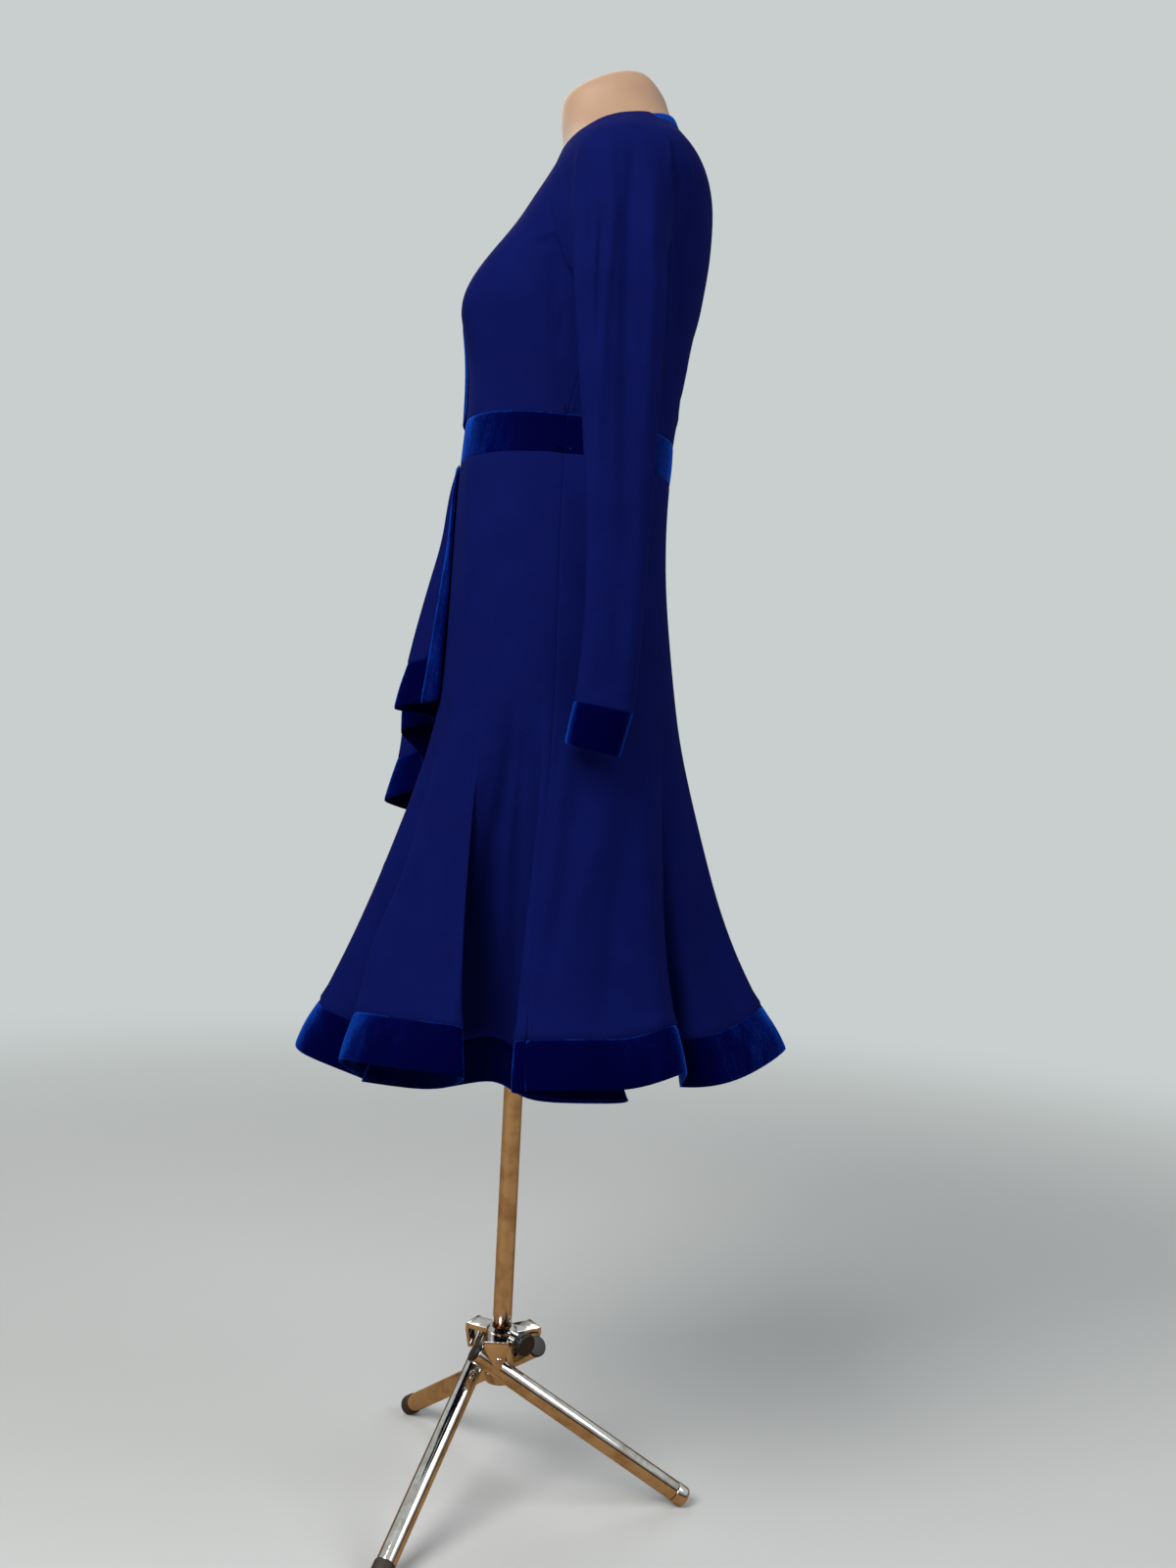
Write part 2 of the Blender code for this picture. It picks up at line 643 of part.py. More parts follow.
def yoke_point(row, share):
    """Point of the sleeve above the underarm, between its two raglan seams."""
    front_z = YOKE_ROWS.at(row, "front")
    back_z = YOKE_ROWS.at(row, "back")
    z = front_z + (back_z - front_z) * math.sin(math.pi / 2 * share) ** YOKE_ROWS.at(row, "late")
    out = CLEAR + CREPE_WALL + SEAM + YOKE_ROWS.at(row, "lap")
    front_angle = RAGLAN.at(front_z, "front")
    back_angle = RAGLAN.at(back_z, "back")
    skin = figure_point(front_angle + (back_angle - front_angle) * share, z, out)
    away = RAGLAN.at(z, "stand_away")
    if away == 0 or share in (0, 1):
        return skin
    front = figure_point(front_angle, front_z, out)
    back = figure_point(back_angle, back_z, out)
    tube = tube_point(z, share, CREPE_WALL)
    tube += (front - tube_point(front_z, 0, CREPE_WALL)) * max(0.0, 1 - share / SEAM_REACH) ** 2
    tube += (back - tube_point(back_z, 1, CREPE_WALL)) * max(0.0, 1 - (1 - share) / SEAM_REACH) ** 2
    point = skin.lerp(tube, away)
    loose = YOKE_LOOSE * min(1.0, min(share, 1 - share) / YOKE_EASE)
    point.x = max(point.x, figure_side_x(point.y, point.z) + out + loose)
    return point


def sleeve_grid():
    """Points and faces of the left sleeve: a tube that opens into the yoke."""
    columns = SLEEVE_COLUMNS + 1
    points = []
    for level in SLEEVE_ROWS:
        low = SEAM / 2 if level == SLEEVE_ROWS[0] else 0.0
        points += [tube_point(level + low, i / SLEEVE_COLUMNS, CREPE_WALL) for i in range(columns)]
    top = len(YOKE_ROWS.rows)
    underarm = UNDERARM_Z - UNDERARM_STEP
    points += [tube_point(underarm, i / SLEEVE_COLUMNS, CREPE_WALL) for i in range(columns)]
    for row in range(1, top):
        points += [yoke_point(row, i / SLEEVE_COLUMNS) for i in range(columns)]
    closed_rows = len(SLEEVE_ROWS) + 1
    faces = []
    for face in grid_faces(closed_rows + top - 1, columns):
        faces.append(tuple(i - SLEEVE_COLUMNS if i < closed_rows * columns
                           and i % columns == SLEEVE_COLUMNS else i for i in face))
    return points, faces


def sleeves(crepe, velvet):
    points, faces = sleeve_grid()
    cuff = []
    for level in (CUFF_BOTTOM, (CUFF_TOP + CUFF_BOTTOM) / 2, CUFF_TOP - SEAM / 2):
        cuff += [tube_point(level, i / SLEEVE_COLUMNS, VELVET_WALL) for i in range(SLEEVE_COLUMNS)]
    ring = grid_faces(3, SLEEVE_COLUMNS, closed=True)
    for side, flip in (("left", False), ("right", True)):
        for name, grid, walls, wall, material in (
                ("sleeve_", points, faces, CREPE_WALL, crepe), ("cuff_", cuff, ring, VELVET_WALL, velvet)):
            if flip:
                grid = mirrored(grid)
                walls = [tuple(reversed(face)) for face in walls]
            normals = surface_normals(grid, walls)
            cloth_wall(name + side, grid, walls, normals, wall, material)


# Skirt

def hem_spline(before, start, end, after, share):
    """Centripetal curve between two folds, in plan."""
    knots = [0.0]
    for low, high in ((before, start), (start, end), (end, after)):
        knots.append(knots[-1] + max((high - low).length, 1e-4) ** 0.5)
    at = knots[1] + (knots[2] - knots[1]) * share

    def mix(low, high, low_knot, high_knot):
        return low.lerp(high, (at - low_knot) / (high_knot - low_knot))

    first = mix(before, start, knots[0], knots[1])
    second = mix(start, end, knots[1], knots[2])
    third = mix(end, after, knots[2], knots[3])
    first = mix(first, second, knots[0], knots[2])
    second = mix(second, third, knots[1], knots[3])
    return mix(first, second, knots[1], knots[2])


def hem_fold(row):
    """Plan point of a fold; rows past either end are the other half's."""
    last = len(HEM.rows) - 1
    side = 1.0
    if row < 0:
        row, side = -row, -1.0
    if row > last:
        row, side = 2 * last - row, -1.0
    return Vector((side * HEM.at(row, "x"), HEM.at(row, "y")))


def skirt_column(place):
    """Plan point at the hem, rim height and hip angle for a place along the left half."""
    row = min(int(place), len(HEM.rows) - 2)
    plan = hem_spline(hem_fold(row - 1), hem_fold(row), hem_fold(row + 1), hem_fold(row + 2),
                      place - row)
    return plan, HEM.at(place, "rim_z"), HEM.at(place, "hip_angle")


def skirt_top_point(angle, z):
    """Inner face of the skirt above the flutes: on the form's hips, then hanging from them."""
    hanging = section_point(HANG, angle, z)
    if z < SKIRT_FREE_Z:
        return hanging
    resting = figure_point(angle, z, HIP_CLEAR if z < SKIRT_SNUG_Z else CLEAR)
    axis = Vector((0.0, FIGURE.at(z, "side_y"), z))
    return max(hanging, resting, key=lambda point: (point - axis).length)


def flute_point(place, fall):
    """Point of the skirt's left half; fall is its share of the way down from the hip to the rim."""
    plan, rim_z, angle = skirt_column(place)
    hip = skirt_top_point(angle, HIP_Z)
    across = Vector((hip.x, hip.y)).lerp(plan, SPREAD.at(fall, "spread"))
    across.y -= SWAY * math.sin(math.pi * fall ** 2)
    return Vector((across.x, across.y, HIP_Z + (rim_z - HIP_Z) * fall))


def skirt_line(place):
    """Points of the skirt at one place of its left half, from the rim up to the belt."""
    angle = HEM.at(place, "hip_angle")
    points = [flute_point(place, fall) for fall in reversed(SKIRT_FALLS + BAND_FALLS)]
    points += [skirt_top_point(angle, z) for z in reversed(SKIRT_LEVELS)]
    points.append(skirt_top_point(angle, belt_edge(angle, "bottom")))
    return points


def gores():
    """Name and first and last column of each gore."""
    steps = STEPS_PER_FOLD
    around = 2 * (len(HEM.rows) - 1) * steps
    front, side, back = FRONT_SEAM * steps, SIDE_SEAM * steps, BACK_SEAM * steps
    return (
        ("front", -front, front),
        ("left_front", front, side),
        ("left_back", side, back),
        ("back", back, around - back),
        ("right_back", around - back, around - side),
        ("right_front", around - side, around - front),
    )


def skirt(crepe, velvet):
    """Gores and hem bands, cut from one surface that starts at the middle of the front."""
    last = (len(HEM.rows) - 1) * STEPS_PER_FOLD
    left = [skirt_line(i / STEPS_PER_FOLD) for i in range(last + 1)]
    lines = left + [mirrored(line) for line in left[-2:0:-1]]
    top = len(lines[0]) - 1
    points = [line[row] for row in range(top + 1) for line in lines]
    surface = Surface(points, len(lines), closed=True)
    surface.level_row(top)
    seam = len(BAND_FALLS)
    for name, first_column, last_column in gores():
        columns = (first_column, last_column)
        surface.piece("gore_" + name, (seam, top), columns, CREPE_WALL, crepe,
                      "first_row last_row first_column last_column")
        surface.piece("band_" + name, (0, seam), columns, BAND_WALL, velvet,
                      "last_row first_column last_column")


# Cascade

def skirt_front_y(x, z):
    """Outer face of the skirt's front at one place across it."""
    line = []
    for i in range(FRONT_SEAM * STEPS_PER_FOLD * 2 + 1):
        place = i / (2 * STEPS_PER_FOLD)
        _, rim_z, angle = skirt_column(place)
        if z > HIP_Z:
            point = skirt_top_point(angle, z)
        else:
            point = flute_point(place, (HIP_Z - z) / (HIP_Z - rim_z))
        line.append((point.x, point.y))
    for (low_x, low_y), (high_x, high_y) in zip(line, line[1:]):
        if low_x <= abs(x) <= high_x:
            share = (abs(x) - low_x) / max(high_x - low_x, 1e-6)
            return low_y + (high_y - low_y) * share - CREPE_WALL
    return line[-1][1] - CREPE_WALL


def cascade_point(across, down):
    """Inner face of the cascade; down is a share of its length at that place."""
    hem_z = CASCADE.at(across, "hem_z")
    z = CASCADE_TOP + (hem_z - CASCADE_TOP) * down
    top_x, hem_x = CASCADE.at(across, "top_x"), CASCADE.at(across, "hem_x")
    x = top_x + (hem_x - top_x) * down ** CASCADE_FLARE
    clear = CASCADE_SEWN + (CASCADE_CLEAR - CASCADE_SEWN) * min(1.0, down / CASCADE_EASE)
    near = skirt_front_y(x, z) - clear
    far = min(near, CASCADE_OUTLINE.at(z, "y") + CREPE_WALL)
    return Vector((x, near + (far - near) * CASCADE.at(across, "forward"), z))


def cascade(crepe, velvet):
    """Cloth in folds from the belt, with velvet borders along its near edge and its hem."""
    lines = [SIDE_BORDER * i / BORDER_COLUMNS for i in range(BORDER_COLUMNS)]
    lines += [SIDE_BORDER + (1 - SIDE_BORDER) * i / CASCADE_COLUMNS for i in range(CASCADE_COLUMNS + 1)]
    columns = len(lines)
    downs = []
    for across in lines:
        border = 1 - HEM_BORDER / (CASCADE_TOP - CASCADE.at(across, "hem_z"))
        downs.append([border * i / CASCADE_ROWS for i in range(CASCADE_ROWS + 1)]
                     + [(1 + border) / 2, 1.0])
    rows = len(downs[0])
    points = [cascade_point(lines[column], downs[column][row])
              for row in range(rows) for column in range(columns)]
    surface = Surface(points, columns)
    last_row, last_column = rows - 1, columns - 1
    surface.piece("drape", (0, CASCADE_ROWS), (BORDER_COLUMNS, last_column), CREPE_WALL, crepe,
                  "last_row first_column", CASCADE_SEAM)
    surface.piece("drape_hem_border", (CASCADE_ROWS, last_row), (BORDER_COLUMNS, last_column),
                  CREPE_WALL, velvet, "first_row first_column", CASCADE_SEAM)
    surface.piece("drape_side_border", (0, last_row), (0, BORDER_COLUMNS), CREPE_WALL, velvet,
                  "last_column", CASCADE_SEAM)


# Dress form and stand

def dress_form(material):
    """Torso and neck in one smooth body, with a flat underside and a slanted domed top."""
    levels = [(FORM_BOTTOM, 0.955), (FORM_BOTTOM + 0.004, 0.985), (FORM_BOTTOM + 0.014, 1.0)]
    yoke = YOKE_ROWS.column("back")[2:BACK_BAND_ROW]
    levels += [(z, 1.0) for z in (*HIP_RINGS, *BODICE_LEVELS, *yoke, *NECK_RINGS, NECK_TOP)]
    middle_y = FIGURE.at(NECK_TOP, "side_y")
    rings = []
    for z, scale in levels:
        axis = Vector((0.0, FIGURE.at(z, "side_y"), z))
        ring = [figure_point(360 * i / FORM_COLUMNS, z, -FORM_INSET) for i in range(FORM_COLUMNS)]
        rings.append([axis + (point - axis) * scale for point in ring])
    for scale in DOME_SCALES:
        ring = []
        for edge in rings[len(levels) - 1]:
            y = middle_y + (edge.y - middle_y) * scale
            rise = NECK_DOME.at(y, "rise") * math.sqrt(1 - scale ** 2)
            ring.append(Vector((edge.x * scale, y, NECK_TOP + rise)))
        rings.append(ring)
    shell = bmesh.new()
    rows = [[shell.verts.new(point) for point in ring] for ring in rings]
    for low, high in zip(rows, rows[1:]):
        for i in range(FORM_COLUMNS):
            beside = (i + 1) % FORM_COLUMNS
            shell.faces.new((low[i], low[beside], high[beside], high[i]))
    shell.faces.new(list(reversed(rows[0])))
    shell.faces.new(rows[-1])
    bmesh.ops.recalc_face_normals(shell, faces=shell.faces)
    mesh_object("dress_form", shell, material)


def turned(name, profile, material, holder, steps=ROUND_STEPS):
    """A body of revolution about Z from its profile of radius and height."""
    mesh = bpy.data.meshes.new(name)
    mesh.from_pydata([(radius, 0.0, height) for radius, height in profile],
                     [(i, i + 1) for i in range(len(profile) - 1)], [])
    piece = bpy.data.objects.new(name, mesh)
    screw = piece.modifiers.new("turn", "SCREW")
    screw.steps = screw.render_steps = steps
    screw.use_merge_vertices = True
    screw.merge_threshold = 0.00001
    return finish_piece(piece, material, holder)


def pole(material):
    top = FORM_BOTTOM - TOUCH
    profile = ((0.0, top), (FLANGE_RADIUS, top), (FLANGE_RADIUS, top - FLANGE_THICK),
               (COLLAR_RADIUS, top - FLANGE_THICK), (COLLAR_RADIUS, top - FLANGE_THICK - COLLAR_LENGTH),
               (POLE_RADIUS, top - FLANGE_THICK - COLLAR_LENGTH), (POLE_RADIUS, POLE_BOTTOM),
               (0.0, POLE_BOTTOM))
    turned("pole", profile, material, "pole_axis", POLE_STEPS)


def leg_frame(leg):
    """Plan direction of a leg, the direction to its side of the pole, and its two ends."""
    foot = Vector((LEGS.at(leg, "foot_x"), LEGS.at(leg, "foot_y"), FOOT_Z))
    along = Vector((foot.x, foot.y, 0.0)).normalized()
    side = Vector((along.y, -along.x, 0.0))
    top = side * LEG_SIDE - along * LEG_BEHIND
    top.z = LEG_TOP_Z
    return along, side, top, foot


def place_along(piece, start, direction):
    """Stand a piece that was made along Z on a point, along a direction."""
    piece.location = start
    piece.rotation_euler = direction.to_track_quat("Z", "X").to_euler()


def leg_pieces(leg, name, chrome, rubber, floor_cutter):
    _, _, top, foot = leg_frame(leg)
    axis = (foot - top).normalized()
    length = (foot - top).length - CAP_LENGTH
    bar = ((0.0, length - TOUCH), (LEG_RADIUS - LEG_EDGE, length - TOUCH),
           (LEG_RADIUS, length - TOUCH - LEG_EDGE), (LEG_RADIUS, 0.0), (0.0, 0.0))
    place_along(turned("leg_" + name, bar, chrome, "stand_axis"), top, axis)
    foot_cap = turned("foot_" + name, CAP, rubber, "stand_axis")
    place_along(foot_cap, top + axis * length, axis)
    cut = foot_cap.modifiers.new("floor", "BOOLEAN")
    cut.operation = "DIFFERENCE"
    cut.object = floor_cutter
    place_along(turned("plug_" + name, PLUG, rubber, "stand_axis"), top, axis)


def block(name, size, location, turn):
    bpy.ops.mesh.primitive_cube_add(size=1.0, location=location, rotation=(0.0, 0.0, turn))
    piece = bpy.context.object
    piece.name = name
    piece.scale = size
    bpy.ops.object.transform_apply(location=False, rotation=False, scale=True)
    return piece


def cheek(name, leg):
    """Shield-shaped plate that holds a leg from outside, with its bridge over the leg."""
    along, side, _, _ = leg_frame(leg)
    shell = bmesh.new()
    inside = [shell.verts.new(along * a + side * CHEEK_IN + Vector((0, 0, z))) for a, z in CHEEK_OUTLINE]
    shell.faces.new(inside)
    grown = bmesh.ops.extrude_face_region(shell, geom=shell.faces[:])
    moved = [item for item in grown["geom"] if isinstance(item, bmesh.types.BMVert)]
    bmesh.ops.translate(shell, verts=moved, vec=side * (CHEEK_OUT - CHEEK_IN))
    bmesh.ops.recalc_face_normals(shell, faces=shell.faces)
    plate = mesh_object(name + "_plate", shell, bpy.data.materials["chrome"])
    low, high = BRIDGE_ENDS
    reach = CHEEK_OUT - TOUCH - BRIDGE_IN
    middle = side * (BRIDGE_IN + reach / 2) + along * (low + high) / 2
    middle.z = (BRIDGE_BOTTOM + BRIDGE_TOP) / 2
    size = (reach, high - low, BRIDGE_TOP - BRIDGE_BOTTOM)
    bridge = block(name + "_bridge", size, middle, math.atan2(side.y, side.x))
    return plate, bridge


def knob_direction():
    turn = math.radians(KNOB_ANGLE)
    return Vector((math.cos(turn), math.sin(turn), 0.0))


def knob_boss():
    length = KNOB_START - TOUCH - BOSS_START
    bpy.ops.mesh.primitive_cylinder_add(vertices=ROUND_STEPS, radius=BOSS_RADIUS, depth=length)
    boss = bpy.context.object
    boss.name = "knob_boss"
    out = knob_direction()
    place_along(boss, out * (BOSS_START + length / 2) + Vector((0, 0, KNOB_Z)), out)
    return boss


def hub(chrome):
    """Casting: a socket for the pole, three cheeks over the legs and a boss for the knob."""
    socket = turned("hub", SOCKET, chrome, "stand_axis", POLE_STEPS)
    joined = [knob_boss()]
    for leg in range(len(LEG_NAMES)):
        joined += cheek("cheek_" + LEG_NAMES[leg], leg)
    for piece in joined:
        set_aside(piece)
        piece.parent = bpy.data.objects["stand_axis"]
        union = socket.modifiers.new(piece.name, "BOOLEAN")
        union.operation = "UNION"
        union.object = piece


def knob(material):
    out = knob_direction()
    place_along(turned("knob", KNOB, material, "stand_axis"),
                out * KNOB_START + Vector((0, 0, KNOB_Z)), out)


def set_aside(piece):
    """Keep a body that only shapes another one out of the part."""
    for owner in list(piece.users_collection):
        owner.objects.unlink(piece)
    bpy.data.collections["cutters"].objects.link(piece)
    piece.hide_render = True
    piece.display_type = "WIRE"


def floor_cutter():
    wide, deep = 1.0, 0.1
    cutter = block("floor_cut", (wide, wide, deep), (0.0, 0.0, -deep / 2), 0.0)
    set_aside(cutter)
    return cutter


def make_holders():
    """Empties on the pole's axis: the stand, the pole that slides in it, the figure that turns."""
    above = None
    for name in ("stand_axis", "pole_axis", "figure_axis"):
        holder = bpy.data.objects.new(name, None)
        bpy.data.collections["ballroom_dress"].objects.link(holder)
        holder.parent = above
        holder.location = (0.0, 0.0 if above else POLE_Y, 0.0)
        above = holder


def main():
    for item in list(bpy.data.objects):
        bpy.data.objects.remove(item, do_unlink=True)
    for name in ("ballroom_dress", "cutters"):
        bpy.context.scene.collection.children.link(bpy.data.collections.new(name))
    make_holders()
    bpy.context.view_layer.update()

    crepe = make_material("crepe", (0.018, 0.022, 0.26), 0.62)
    velvet = make_material("velvet", (0.002, 0.004, 0.06), 0.75)
    skin = make_material("form_plastic", (0.57, 0.36, 0.22), 0.45)
    chrome = make_material("chrome", (0.75, 0.74, 0.72), 0.12, 1.0)
    rubber = make_material("black_rubber", (0.012, 0.012, 0.013), 0.6)

    torso(crepe, velvet)
    front_strip(velvet)
    sleeves(crepe, velvet)
    skirt(crepe, velvet)
    cascade(crepe, velvet)

    dress_form(skin)
    pole(chrome)
    hub(chrome)
    cutter = floor_cutter()
    for leg, name in enumerate(LEG_NAMES):
        leg_pieces(leg, name, chrome, rubber, cutter)
    knob(rubber)


main()
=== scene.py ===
# %% [markdown]
# A ballroom dance dress on a dress form. The imported CAD model comes in first, in metres, with the floor
# at z = 0, the dress facing -Y and its left side toward +X. Every cloth below starts from its CAD wall,
# so nothing has to be fitted by eye.

# %% Load the frame
import math

import bmesh
import bpy
import numpy as np
from mathutils import Matrix, Vector
from mathutils.bvhtree import BVHTree


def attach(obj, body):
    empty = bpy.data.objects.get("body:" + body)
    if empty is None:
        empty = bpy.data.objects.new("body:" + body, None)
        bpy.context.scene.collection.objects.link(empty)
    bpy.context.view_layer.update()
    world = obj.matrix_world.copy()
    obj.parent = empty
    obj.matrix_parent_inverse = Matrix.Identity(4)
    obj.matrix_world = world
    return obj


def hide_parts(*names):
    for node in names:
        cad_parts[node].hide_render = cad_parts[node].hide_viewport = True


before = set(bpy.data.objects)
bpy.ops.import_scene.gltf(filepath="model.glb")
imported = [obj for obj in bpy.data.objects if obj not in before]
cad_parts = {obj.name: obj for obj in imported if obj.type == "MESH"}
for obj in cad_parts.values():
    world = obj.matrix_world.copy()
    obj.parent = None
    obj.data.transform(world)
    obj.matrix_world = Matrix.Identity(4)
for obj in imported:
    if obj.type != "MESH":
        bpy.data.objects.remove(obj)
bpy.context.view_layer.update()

# %% [markdown]
# The photograph looks at the dress's left side, level, from 1.7 m away and about belly height. The phone
# was tilted by 2.8 degrees, so the picture leans. A camera object is a matrix: its columns are the
# picture's right, the picture's up, and the direction back toward the photographer.

# %% Camera
PHOTO_LEAN = math.radians(2.8)
CAMERA_SPOT = (1.73, 0.0366, 0.875)
LENS, SENSOR_HIGH = 34.25, 36.0                 # millimetres
SHIFT_RIGHT, SHIFT_UP = -0.0012, -0.025         # shares of the picture


def new_object(name, data):
    piece = bpy.data.objects.new(name, data)
    bpy.context.scene.collection.objects.link(piece)
    return piece


lean_cos, lean_sin = math.cos(PHOTO_LEAN), math.sin(PHOTO_LEAN)
camera_data = bpy.data.cameras.new("camera")
camera_data.sensor_fit = "VERTICAL"
camera_data.sensor_height, camera_data.lens = SENSOR_HIGH, LENS
camera_data.shift_x, camera_data.shift_y = SHIFT_RIGHT, SHIFT_UP
camera = new_object("camera", camera_data)
camera.matrix_world = Matrix((
    (0.0, 0.0, 1.0, CAMERA_SPOT[0]),
    (lean_cos, -lean_sin, 0.0, CAMERA_SPOT[1]),
    (lean_sin, lean_cos, 0.0, CAMERA_SPOT[2]),
    (0.0, 0.0, 0.0, 1.0),
))
bpy.context.scene.camera = camera
print("camera lens, mm:", camera_data.lens)

# %% [markdown]
# Colours on a screen are stored with a curve, and Blender mixes light without one. This function undoes
# the curve, so a hex colour read off a swatch can be used in a shader.

# %% Colour from a hex value
def linear(hex_code):
    parts = [int(hex_code[place:place + 2], 16) / 255 for place in (1, 3, 5)]
    flat = [part / 12.92 if part <= 0.04045 else ((part + 0.055) / 1.055) ** 2.4 for part in parts]
    return (*flat, 1.0)


print("mid grey:", [round(part, 3) for part in linear("#808080")])

# %% [markdown]
# A shader is a graph of nodes. One helper adds a node, sets its settings, and fills its sockets: a plain
# value goes on the socket itself, and another node's output becomes a link. Three more use it for what comes
# again in every material: a cloudy pattern, a ramp from one colour to the next, and a fine relief.

# %% Add a shader node
def add_node(tree, kind, sockets=None, **settings):
    node = tree.nodes.new(kind)
    for name, value in settings.items():
        setattr(node, name, value)
    for name, value in (sockets or {}).items():
        if isinstance(value, bpy.types.NodeSocket):
            tree.links.new(value, node.inputs[name])
        else:
            node.inputs[name].default_value = value
    return node


def new_material(name):
    material = bpy.data.materials.new(name)
    material.use_nodes = True
    material.node_tree.nodes.clear()
    return material, material.node_tree


def finish_material(tree, surface):
    add_node(tree, "ShaderNodeOutputMaterial", {"Surface": surface})


def add_noise(tree, vector, scale, detail, roughness=0.5):
    return add_node(tree, "ShaderNodeTexNoise", {
        "Vector": vector, "Scale": scale, "Detail": detail, "Roughness": roughness,
    }).outputs["Fac"]


def add_ramp(tree, factor, *stops):
    ramp = add_node(tree, "ShaderNodeValToRGB", {"Fac": factor})
    points = ramp.color_ramp.elements
    points[0].position, points[1].position = stops[0][0], stops[-1][0]
    for place, colour in stops[1:-1]:
        points.new(place)
    for point, (place, colour) in zip(points, stops):
        point.color = linear(colour)
    return ramp.outputs["Color"]


def add_relief(tree, height, strength, deep, **more):
    return add_node(tree, "ShaderNodeBump", {
        "Height": height, "Strength": strength, "Distance": deep, **more,
    }).outputs["Normal"]


# %% [markdown]
# The studio is a pale grey paper sweep. A round floor takes the shadow and thins out toward its rim, so it
# melts into a background of nearly the same grey.

# %% Floor
PAPER = "#c9cfce"
FLOOR = "#cccdcd"
WOOD = "#a07a51"
FLOOR_RADIUS, FADE_FROM, FADE_TO = 3.4, 1.2, 3.2


def make_floor():
    material, tree = new_material("matt_grey_paper")
    place = add_node(tree, "ShaderNodeTexCoord")
    away = add_node(tree, "ShaderNodeVectorMath", {0: place.outputs["Object"]}, operation="LENGTH")
    fade = add_node(tree, "ShaderNodeMapRange", {
        "Value": away.outputs["Value"], "From Min": FADE_FROM, "From Max": FADE_TO,
        "To Min": 1.0, "To Max": 0.0,
    }, interpolation_type="SMOOTHSTEP")
    ray = add_node(tree, "ShaderNodeLightPath")
    mirrored = add_node(tree, "ShaderNodeMix", {
        0: ray.outputs["Is Glossy Ray"], 6: linear(FLOOR), 7: linear(WOOD),
    }, data_type="RGBA")
    paper = add_node(tree, "ShaderNodeBsdfDiffuse", {"Color": mirrored.outputs[2]})
    clear = add_node(tree, "ShaderNodeBsdfTransparent")
    blend = add_node(tree, "ShaderNodeMixShader", {
        "Fac": fade.outputs["Result"], 1: clear.outputs["BSDF"], 2: paper.outputs["BSDF"],
    })
    finish_material(tree, blend.outputs["Shader"])
    bpy.ops.mesh.primitive_circle_add(vertices=96, radius=FLOOR_RADIUS, fill_type="NGON")
    floor = bpy.context.object
    floor.name = "paper_floor"
    floor.data.materials.append(material)
    return floor


floor = make_floor()
print("floor across, m:", round(floor.dimensions.x, 2))

# %% [markdown]
# Dark cloth shows its folds only where light comes from one side, so the room is dim and three soft lamps
# give most of the light: a strong one high before the dress on the camera's side, and two weaker ones behind
# the dress and beyond it. The chromed stand was photographed over a wooden floor and still mirrors it, so a
# mirrored ray meets wood below, a dark skirting at the horizon and the pale room above.

# %% Lights
ROOM_LIGHT, MIRRORED_LIGHT = 0.30, 0.9
MIRRORED_ROOM = (
    (0.00, "#6d5239"), (0.05, "#2a201b"), (0.14, "#2f2622"), (0.20, "#8e8a86"), (0.40, PAPER),
)


def make_world():
    world = bpy.data.worlds.new("studio")
    world.use_nodes = True
    tree = world.node_tree
    tree.nodes.clear()
    seen = add_node(tree, "ShaderNodeBackground", {"Color": linear(PAPER), "Strength": 1.0})
    room = add_node(tree, "ShaderNodeBackground", {"Color": linear(PAPER), "Strength": ROOM_LIGHT})
    ray = add_node(tree, "ShaderNodeLightPath")
    way = add_node(tree, "ShaderNodeTexCoord")
    height = add_node(tree, "ShaderNodeSeparateXYZ", {"Vector": way.outputs["Generated"]})
    walls = add_ramp(tree, height.outputs["Z"], *MIRRORED_ROOM)
    mirrored = add_node(tree, "ShaderNodeBackground", {"Color": walls, "Strength": MIRRORED_LIGHT})
    lit = add_node(tree, "ShaderNodeMixShader", {
        "Fac": ray.outputs["Is Glossy Ray"], 1: room.outputs["Background"], 2: mirrored.outputs["Background"],
    })
    both = add_node(tree, "ShaderNodeMixShader", {
        "Fac": ray.outputs["Is Camera Ray"], 1: lit.outputs["Shader"], 2: seen.outputs["Background"],
    })
    add_node(tree, "ShaderNodeOutputWorld", {"Surface": both.outputs["Shader"]})
    bpy.context.scene.world = world


def make_light(name, location, target, size, watts, colour):
    data = bpy.data.lights.new(name, "AREA")
    data.shape = "DISK"
    data.size = size
    data.energy = watts
    data.color = linear(colour)[:3]
    lamp = new_object(name, data)
    lamp.location = location
    lamp.rotation_euler = (Vector(target) - Vector(location)).to_track_quat("-Z", "Y").to_euler()


make_world()
make_light("soft_key", (1.8, -1.4, 2.7), (0.0, 0.0, 0.7), 2.0, 94, "#fffefa")
make_light("soft_right", (0.8, 2.4, 2.5), (0.0, 0.3, 0.6), 2.0, 34, "#fbfcff")
make_light("soft_back", (-2.0, -0.6, 2.6), (0.0, 0.0, 0.8), 2.0, 20, "#fbfcff")
bpy.context.scene.view_settings.view_transform = "Standard"
print("lights:", len(bpy.data.lights))

# %% [markdown]
# The dress's main cloth is a matt stretch crepe, a fine polyester knit with a pebbly face. The pebbles
# scatter light, so the blue is deep and even, and only a faint sheen shows at the edges. Real pebbles are
# about 0.4 mm; at this distance they would vanish, so they are drawn at 1.2 mm.

